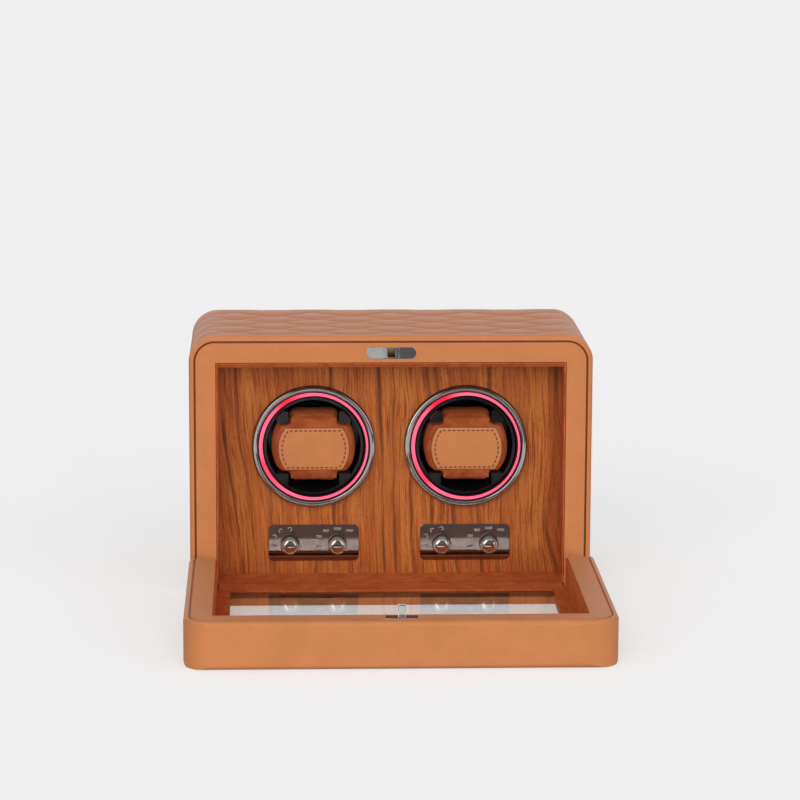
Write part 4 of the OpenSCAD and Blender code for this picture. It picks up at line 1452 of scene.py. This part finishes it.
@dataclass
class ControlPlate:
    """One plated control plate with its printed marks and two knobs."""

    side: Side
    nodes: dict[str, bpy.types.Object]
    pitch: float = 33.4
    knob_z: float = 29.3
    front: float = 26.0
    plate_edge: float = 0.45
    ink_t: float = 0.03
    arrow_r: float = 1.25
    arrow_w: float = 0.32
    arrow_tip: float = 0.55
    arrow_sweep: float = 210.0
    knob_r: float = 6.75
    knob_front: float = 15.5
    knob_back: float = 25.2
    teeth: int = 26
    tooth_in: float = 5.25
    tooth_slope: float = 0.4
    tooth_depth: float = 0.5
    tooth_sink: float = 0.35
    collar: float = 0.15
    pointer_at: float = 3.9
    pointer_r: float = 0.7

    @property
    def middle(self) -> float:
        """The plate's middle, across."""
        return self.side.sign * Winder.axis_x

    def marks(self) -> None:
        """Prints the plain dial marks round both knobs, each at its place from its knob's axis."""
        left, right = self.middle - self.pitch / 2, self.middle + self.pitch / 2
        turns = (("650", -12.9, -2.0), ("750", -13.0, 5.0), ("850", -8.0, 9.2),
                 ("1000", 0.0, 10.6), ("1950", 8.4, 9.2))
        arrows = ((Turning.CLOCKWISE, -11.0, 5.2), (Turning.COUNTER, -6.6, 9.4),
                  (Turning.BOTH, 0.0, 10.6))
        self.word("OFF", left - 11.5, self.knob_z - 1.8, 2.9)
        for text, across, up in turns:
            self.word(text, right + across, self.knob_z + up, 2.7)
        for way, across, up in arrows:
            self.arrow(way, left + across, self.knob_z + up)

    def word(self, text: str, x: float, z: float, size: float) -> None:
        """Prints one short mark, dark below the knob's axis, where the plate shows pale.

        Args:
            text: What it says.
            x: Its middle, across.
            z: Its middle's height.
            size: The letters' size.
        """
        curve = bpy.data.curves.new("mark", "FONT")
        curve.body, curve.size = text, size * MM
        curve.align_x, curve.align_y = "CENTER", "CENTER"
        curve.extrude = self.ink_t * MM
        holder = linked("mark", curve)
        mesh = evaluated(holder)
        bpy.data.objects.remove(holder)
        bm = bmesh.new()
        bm.from_mesh(mesh)
        bpy.data.meshes.remove(mesh)
        bmesh.ops.rotate(bm, cent=(0, 0, 0), matrix=Matrix.Rotation(QUARTER, 3, "X"),
                         verts=bm.verts)
        ink = Palette.dark_ink if z < self.knob_z else Palette.ink
        self.printed(bm, f"mark_{text.lower()}", x, z, ink)

    def arrow(self, way: Turning, x: float, z: float) -> None:
        """Prints a turning arrow: a bent strip with a tip at one end or at both.

        Args:
            way: Which way it points.
            x: Its middle, across.
            z: Its middle's height.
        """
        turn = -1 if way is not Turning.COUNTER else 1
        start, sweep = math.radians(90 - 60 * turn), math.radians(turn * self.arrow_sweep)
        bm = bmesh.new()
        radii = (self.arrow_r - self.arrow_w / 2, self.arrow_r + self.arrow_w / 2)
        strip = [bm.verts.new(Vector((r, 0, 0)) * MM) for r in radii]
        edge = bm.edges.new(strip)
        bmesh.ops.rotate(bm, cent=(0, 0, 0), matrix=Matrix.Rotation(-start, 3, "Y"), verts=strip)
        bmesh.ops.spin(bm, geom=strip + [edge], cent=(0, 0, 0), axis=(0, 1, 0), angle=-sweep,
                       steps=10)
        for end in [start + sweep] + ([start] if way is Turning.BOTH else []):
            tip = bmesh.ops.create_circle(bm, cap_ends=True, radius=self.arrow_tip * MM,
                                          segments=3, matrix=Matrix.Rotation(QUARTER, 4, "X"))
            spot = Vector((math.cos(end), 0, math.sin(end))) * self.arrow_r * MM
            bmesh.ops.translate(bm, vec=spot, verts=tip["verts"])
        for face in bm.faces:
            if face.normal.y > 0.5:
                face.normal_flip()
        self.printed(bm, f"mark_arrow_{way.value + 1}", x, z, Palette.ink)

    def printed(self, bm: bmesh.types.BMesh, name: str, x: float, z: float, ink: Finish) -> None:
        """Lays one mark on the plate's face.

        Args:
            bm: The mark, upright about the origin; it is freed.
            name: The piece's name without its side.
            x: Its middle, across.
            z: Its middle's height.
            ink: Its finish.
        """
        shifted(bm, place(x, self.front - self.ink_t, z))
        finished(bm, f"{name}_{self.side.word}", ink, "case")

    def knob(self, kind: str, x: float) -> None:
        """Builds one knob: a polished dome in a ring of fine teeth, with painted shade in the valleys
        between them.

        Args:
            kind: Which setting it turns, the first word of its node's name.
            x: Its axis's distance from the middle.
        """
        name = f"{kind}_knob_{self.side.word}"
        r, front, back = self.knob_r, self.knob_front, self.knob_back
        # Radius, and back from the knob's front.
        dome = ((0.0, 0.0), (1.6, 0.1), (3.0, 0.4), (4.0, 0.85), (4.6, 1.3), (4.9, 1.7),
                (4.95, 2.2), (5.2, 2.2), (5.3, 1.6), (5.7, 1.7), (6.3, 2.2), (r - 0.1, 3.0),
                (r, 3.8))
        profile = [(radius, front + behind) for radius, behind in dome]
        profile += [(r, back - 0.4), (r - 0.4, back), (0.0, back)]
        centre = place(x, 0, self.knob_z)
        bm = spun(profile, centre, self.teeth * 6, closed=False)
        for v in bm.verts:
            out = Vector((v.co.x - centre.x, 0, v.co.z - centre.z))
            beyond = out.length / MM - self.tooth_in
            if beyond > 0:
                wave = 0.5 + 0.5 * self.tooth_wave(out)
                sink = min(beyond / self.tooth_slope, 1.0) * wave * MM
                inwards = out.normalized() * -self.tooth_depth * sink
                v.co += inwards + Vector((0, self.tooth_sink * sink, 0))
        piece = finished(bm, name.replace("knob", "grip"), Palette.chrome, name, [name],
                         50)

        def in_valley(face: bpy.types.MeshPolygon) -> bool:
            """Says whether a face lies between two teeth, where shade is painted."""
            out = Vector((face.center.x - centre.x, 0, face.center.z - centre.z))
            toothed = out.length > (self.tooth_in + self.collar) * MM
            return toothed and self.tooth_wave(out) > 0.1

        # Painted shade in the valleys between the teeth.
        two_toned(piece, Palette.seat, in_valley)
        self.pointer(kind, x)

    def tooth_wave(self, out: Vector) -> float:
        """Runs from one in a valley to minus one on a tooth, round the knob."""
        return math.cos(self.teeth * math.atan2(out.z, out.x))

    def pointer(self, kind: str, x: float) -> None:
        """Builds the dark dot that shows where a knob points.

        Args:
            kind: Which setting the knob turns.
            x: The knob's axis.
        """
        name = f"{kind}_knob_{self.side.word}"
        turned = math.radians(-120 if kind == "direction" else 20 + 20 * self.side.sign)
        spot = place(x + self.pointer_at * math.sin(turned), 0,
                     self.knob_z + self.pointer_at * math.cos(turned))
        near, far = self.knob_front + 0.5, self.knob_front + 1.4
        profile = [(0.0, near), (self.pointer_r, near), (self.pointer_r, far), (0.0, far)]
        finished(spun(profile, spot, 20, closed=False), name.replace("knob", "pointer"),
                 Palette.dark_ink, name)

    def build(self) -> None:
        """Builds the plate with a fine bevel, its marks and its knobs."""
        word = self.side.word
        copied(self.nodes[f"control_plate_{word}"], f"plate_{word}", self.plate_edge,
               Palette.nickel, "case")
        self.marks()
        for kind, way in (("direction", -1), ("turns", 1)):
            self.knob(kind, self.middle + way * self.pitch / 2)


# ---------------------------------------------------------------- stage


@dataclass
class Studio:
    """Camera, lights and floor."""

    eye: Point = (-83.1, -2163.0, 543.7)
    lens: float = 143.06
    pitch: float = 10.636
    yaw: float = 2.36
    roll: float = 0.243
    floor_half: float = 30.0
    floor_gap: float = 0.3
    floor_glow: float = 0.506
    paper: Colour = (0.50, 0.50, 0.50)
    paper_fleck: Colour = (0.52, 0.52, 0.52)
    shade: Colour = (0.02, 0.02, 0.02)
    shade_share: float = 0.88
    mirrored_share: float = 0.7
    through_share: float = 1.15
    sky: float = 0.42
    room: float = 0.11
    wall: float = 0.9
    ceiling: float = 0.6
    boxes: tuple[tuple[Point, float], ...] = (((-0.72, -0.42, 0.50), 1.15),
                                              ((0.86, -0.28, 0.42), 0.7))
    suns: tuple[tuple[str, float, float, float, float], ...] = (
        ("key", 1.55, -20.0, 22.0, 50.0), ("fill", 1.0, 35.0, 15.0, 70.0),
        ("rake", 0.55, 16.0, 6.0, 7.0))

    def camera(self) -> None:
        """Sets the camera."""
        p, y, r = (math.radians(a) for a in (self.pitch, self.yaw, self.roll))
        ahead = Vector((math.sin(y) * math.cos(p), math.cos(y) * math.cos(p), -math.sin(p)))
        level = Vector((math.cos(y), -math.sin(y), 0.0))
        over = level.cross(ahead)
        right = level * math.cos(r) + over * math.sin(r)
        up = over * math.cos(r) - level * math.sin(r)
        data = bpy.data.cameras.new("camera")
        data.lens, data.sensor_width, data.clip_end = self.lens, 36.0, 100.0
        holder = linked("camera", data)
        turned = Matrix((right, up, -ahead)).transposed().to_4x4()
        holder.matrix_world = Matrix.Translation(place(*self.eye)) @ turned
        bpy.context.scene.camera = holder

    def floor(self) -> None:
        """Lays the pale floor."""
        bm = bmesh.new()
        bmesh.ops.create_grid(bm, x_segments=1, y_segments=1, size=self.floor_half)
        shifted(bm, Vector((0, 0, -self.floor_gap * MM)))
        mesh = meshed(bm, "floor")
        mesh.materials.append(self.floor_paper())
        linked("floor", mesh)

    def floor_paper(self) -> bpy.types.Material:
        """Builds the floor's paper, which shines nearly white to the eye.

        Its colour carries painted shade for reflections: greyer to the right of the box and before it, and
        dark under the pane.

        Returns:
            The material.
        """
        material = bpy.data.materials.new("floor_paper")
        material.use_nodes = True
        g = Graph(material.node_tree)
        body = material.node_tree.nodes["Principled BSDF"]
        body.inputs["Roughness"].default_value = 0.9
        body.inputs["Specular IOR Level"].default_value = 0.0
        where = g.add("TexCoord").outputs["Object"]
        fleck = g.noise(where, 900.0, 2.0)
        path = g.add("LightPath").outputs
        glossy, through_glass = path["Is Glossy Ray"], path["Is Transmission Ray"]
        bounces = path["Glossy Depth"]
        x, y, _ = g.split(where)
        right_of, before = 0.03, -0.5
        # Painted shade for reflections: a region to the right of the box and before it, and the floor seen
        # under the pane after a bounce.
        beyond = g.times(g.ease(x, right_of, right_of + 0.01), g.ease(y, before, before - 0.1))
        first = g.math("MULTIPLY_ADD", bounces, -0.9, 1.0, clamp=True)
        through = g.times(g.times(through_glass, self.through_share), first)
        mirrored = g.times(glossy, g.math("MULTIPLY_ADD", beyond, -0.5, self.mirrored_share))
        under = g.times(through_glass, g.math("MINIMUM", bounces, 1.0))
        painted_shade = g.times(g.math("MAXIMUM", under, g.times(glossy, beyond)), self.shade_share)
        paper = g.mix(fleck, self.paper, self.paper_fleck)
        g.feed(body.inputs["Base Color"], g.mix(painted_shade, paper, self.shade))
        seen = g.math("MAXIMUM", g.math("MAXIMUM", path["Is Camera Ray"], mirrored), through)
        seen = g.times(seen, g.math("MULTIPLY_ADD", bounces, -0.3, 1.0, clamp=True))
        strength = g.times(seen, self.floor_glow)
        glow = g.add("Emission", {"Color": (1, 1, 1, 1), "Strength": strength})
        total = g.add("AddShader", {0: body.outputs[0], 1: glow.outputs[0]})
        g.feed(material.node_tree.nodes["Material Output"].inputs["Surface"], total.outputs[0])
        return material

    def world(self) -> None:
        """Sets an even sky for the light and a studio with soft boxes for reflections."""
        world = bpy.data.worlds.new("studio")
        bpy.context.scene.world = world
        world.use_nodes = True
        g = Graph(world.node_tree)
        back = world.node_tree.nodes["Background"]
        glossy = g.add("LightPath").outputs["Is Glossy Ray"]
        way = g.add("TexCoord").outputs["Generated"]
        _, y, z = g.split(way)
        lit = g.times(g.ease(y, 0.0, 0.15), self.wall)
        for aim, share in self.boxes:
            ins = {0: way, 1: Vector(aim).normalized()}
            toward = g.add("VectorMath", ins, operation="DOT_PRODUCT").outputs["Value"]
            lit = g.math("MAXIMUM", lit, g.times(g.ease(toward, 0.82, 0.9), share))
        lit = g.math("MAXIMUM", lit, g.times(g.ease(z, 0.72, 0.9), self.ceiling))
        plain = g.times(g.minus(1.0, glossy), self.sky)
        strength = g.math("MULTIPLY_ADD", glossy, g.plus(lit, self.room), plain)
        g.feed(back.inputs["Strength"], strength)
        back.inputs["Color"].default_value = (1, 1, 1, 1)

    def lamps(self) -> None:
        """Adds soft suns from the front, each with its strength, azimuth, height and width."""
        for name, strength, azimuth, height, width in self.suns:
            data = bpy.data.lights.new(name, "SUN")
            data.energy, data.angle = strength, math.radians(width)
            a, e = math.radians(azimuth), math.radians(height)
            way = Vector((math.sin(a) * math.cos(e), -math.cos(a) * math.cos(e), math.sin(e)))
            holder = linked(name, data)
            holder.rotation_euler = way.to_track_quat("Z", "Y").to_euler()
            holder.visible_glossy = False

    def build(self) -> None:
        """Sets the whole stage."""
        self.camera()
        self.floor()
        self.world()
        self.lamps()
        bpy.context.scene.view_settings.view_transform = "Standard"


# ---------------------------------------------------------------- the whole box


def dress(nodes: dict[str, bpy.types.Object]) -> None:
    """Gives every CAD node its finish.

    Args:
        nodes: The CAD nodes by name.
    """
    for finish, names in DRESSED:
        for name in names:
            sides = [side.word for side in Side] if "*" in name else [""]
            for node in (nodes[name.replace("*", word)] for word in sides):
                if not node.material_slots:
                    node.data.materials.append(finish.material())
                for slot in node.material_slots:
                    slot.material = finish.material()


def main() -> None:
    """Builds the scene in order."""
    logging.basicConfig(level=logging.INFO)
    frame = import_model()
    nodes = frame["nodes"]
    Studio().build()
    dress(nodes)
    QuiltedCover().build()
    LiningEdge(nodes["case_lining"]).build()
    Catch(nodes).build()
    for side in Side:
        Winder(side, nodes).build()
        ControlPlate(side, nodes).build()


if __name__ == "__main__":
    main()
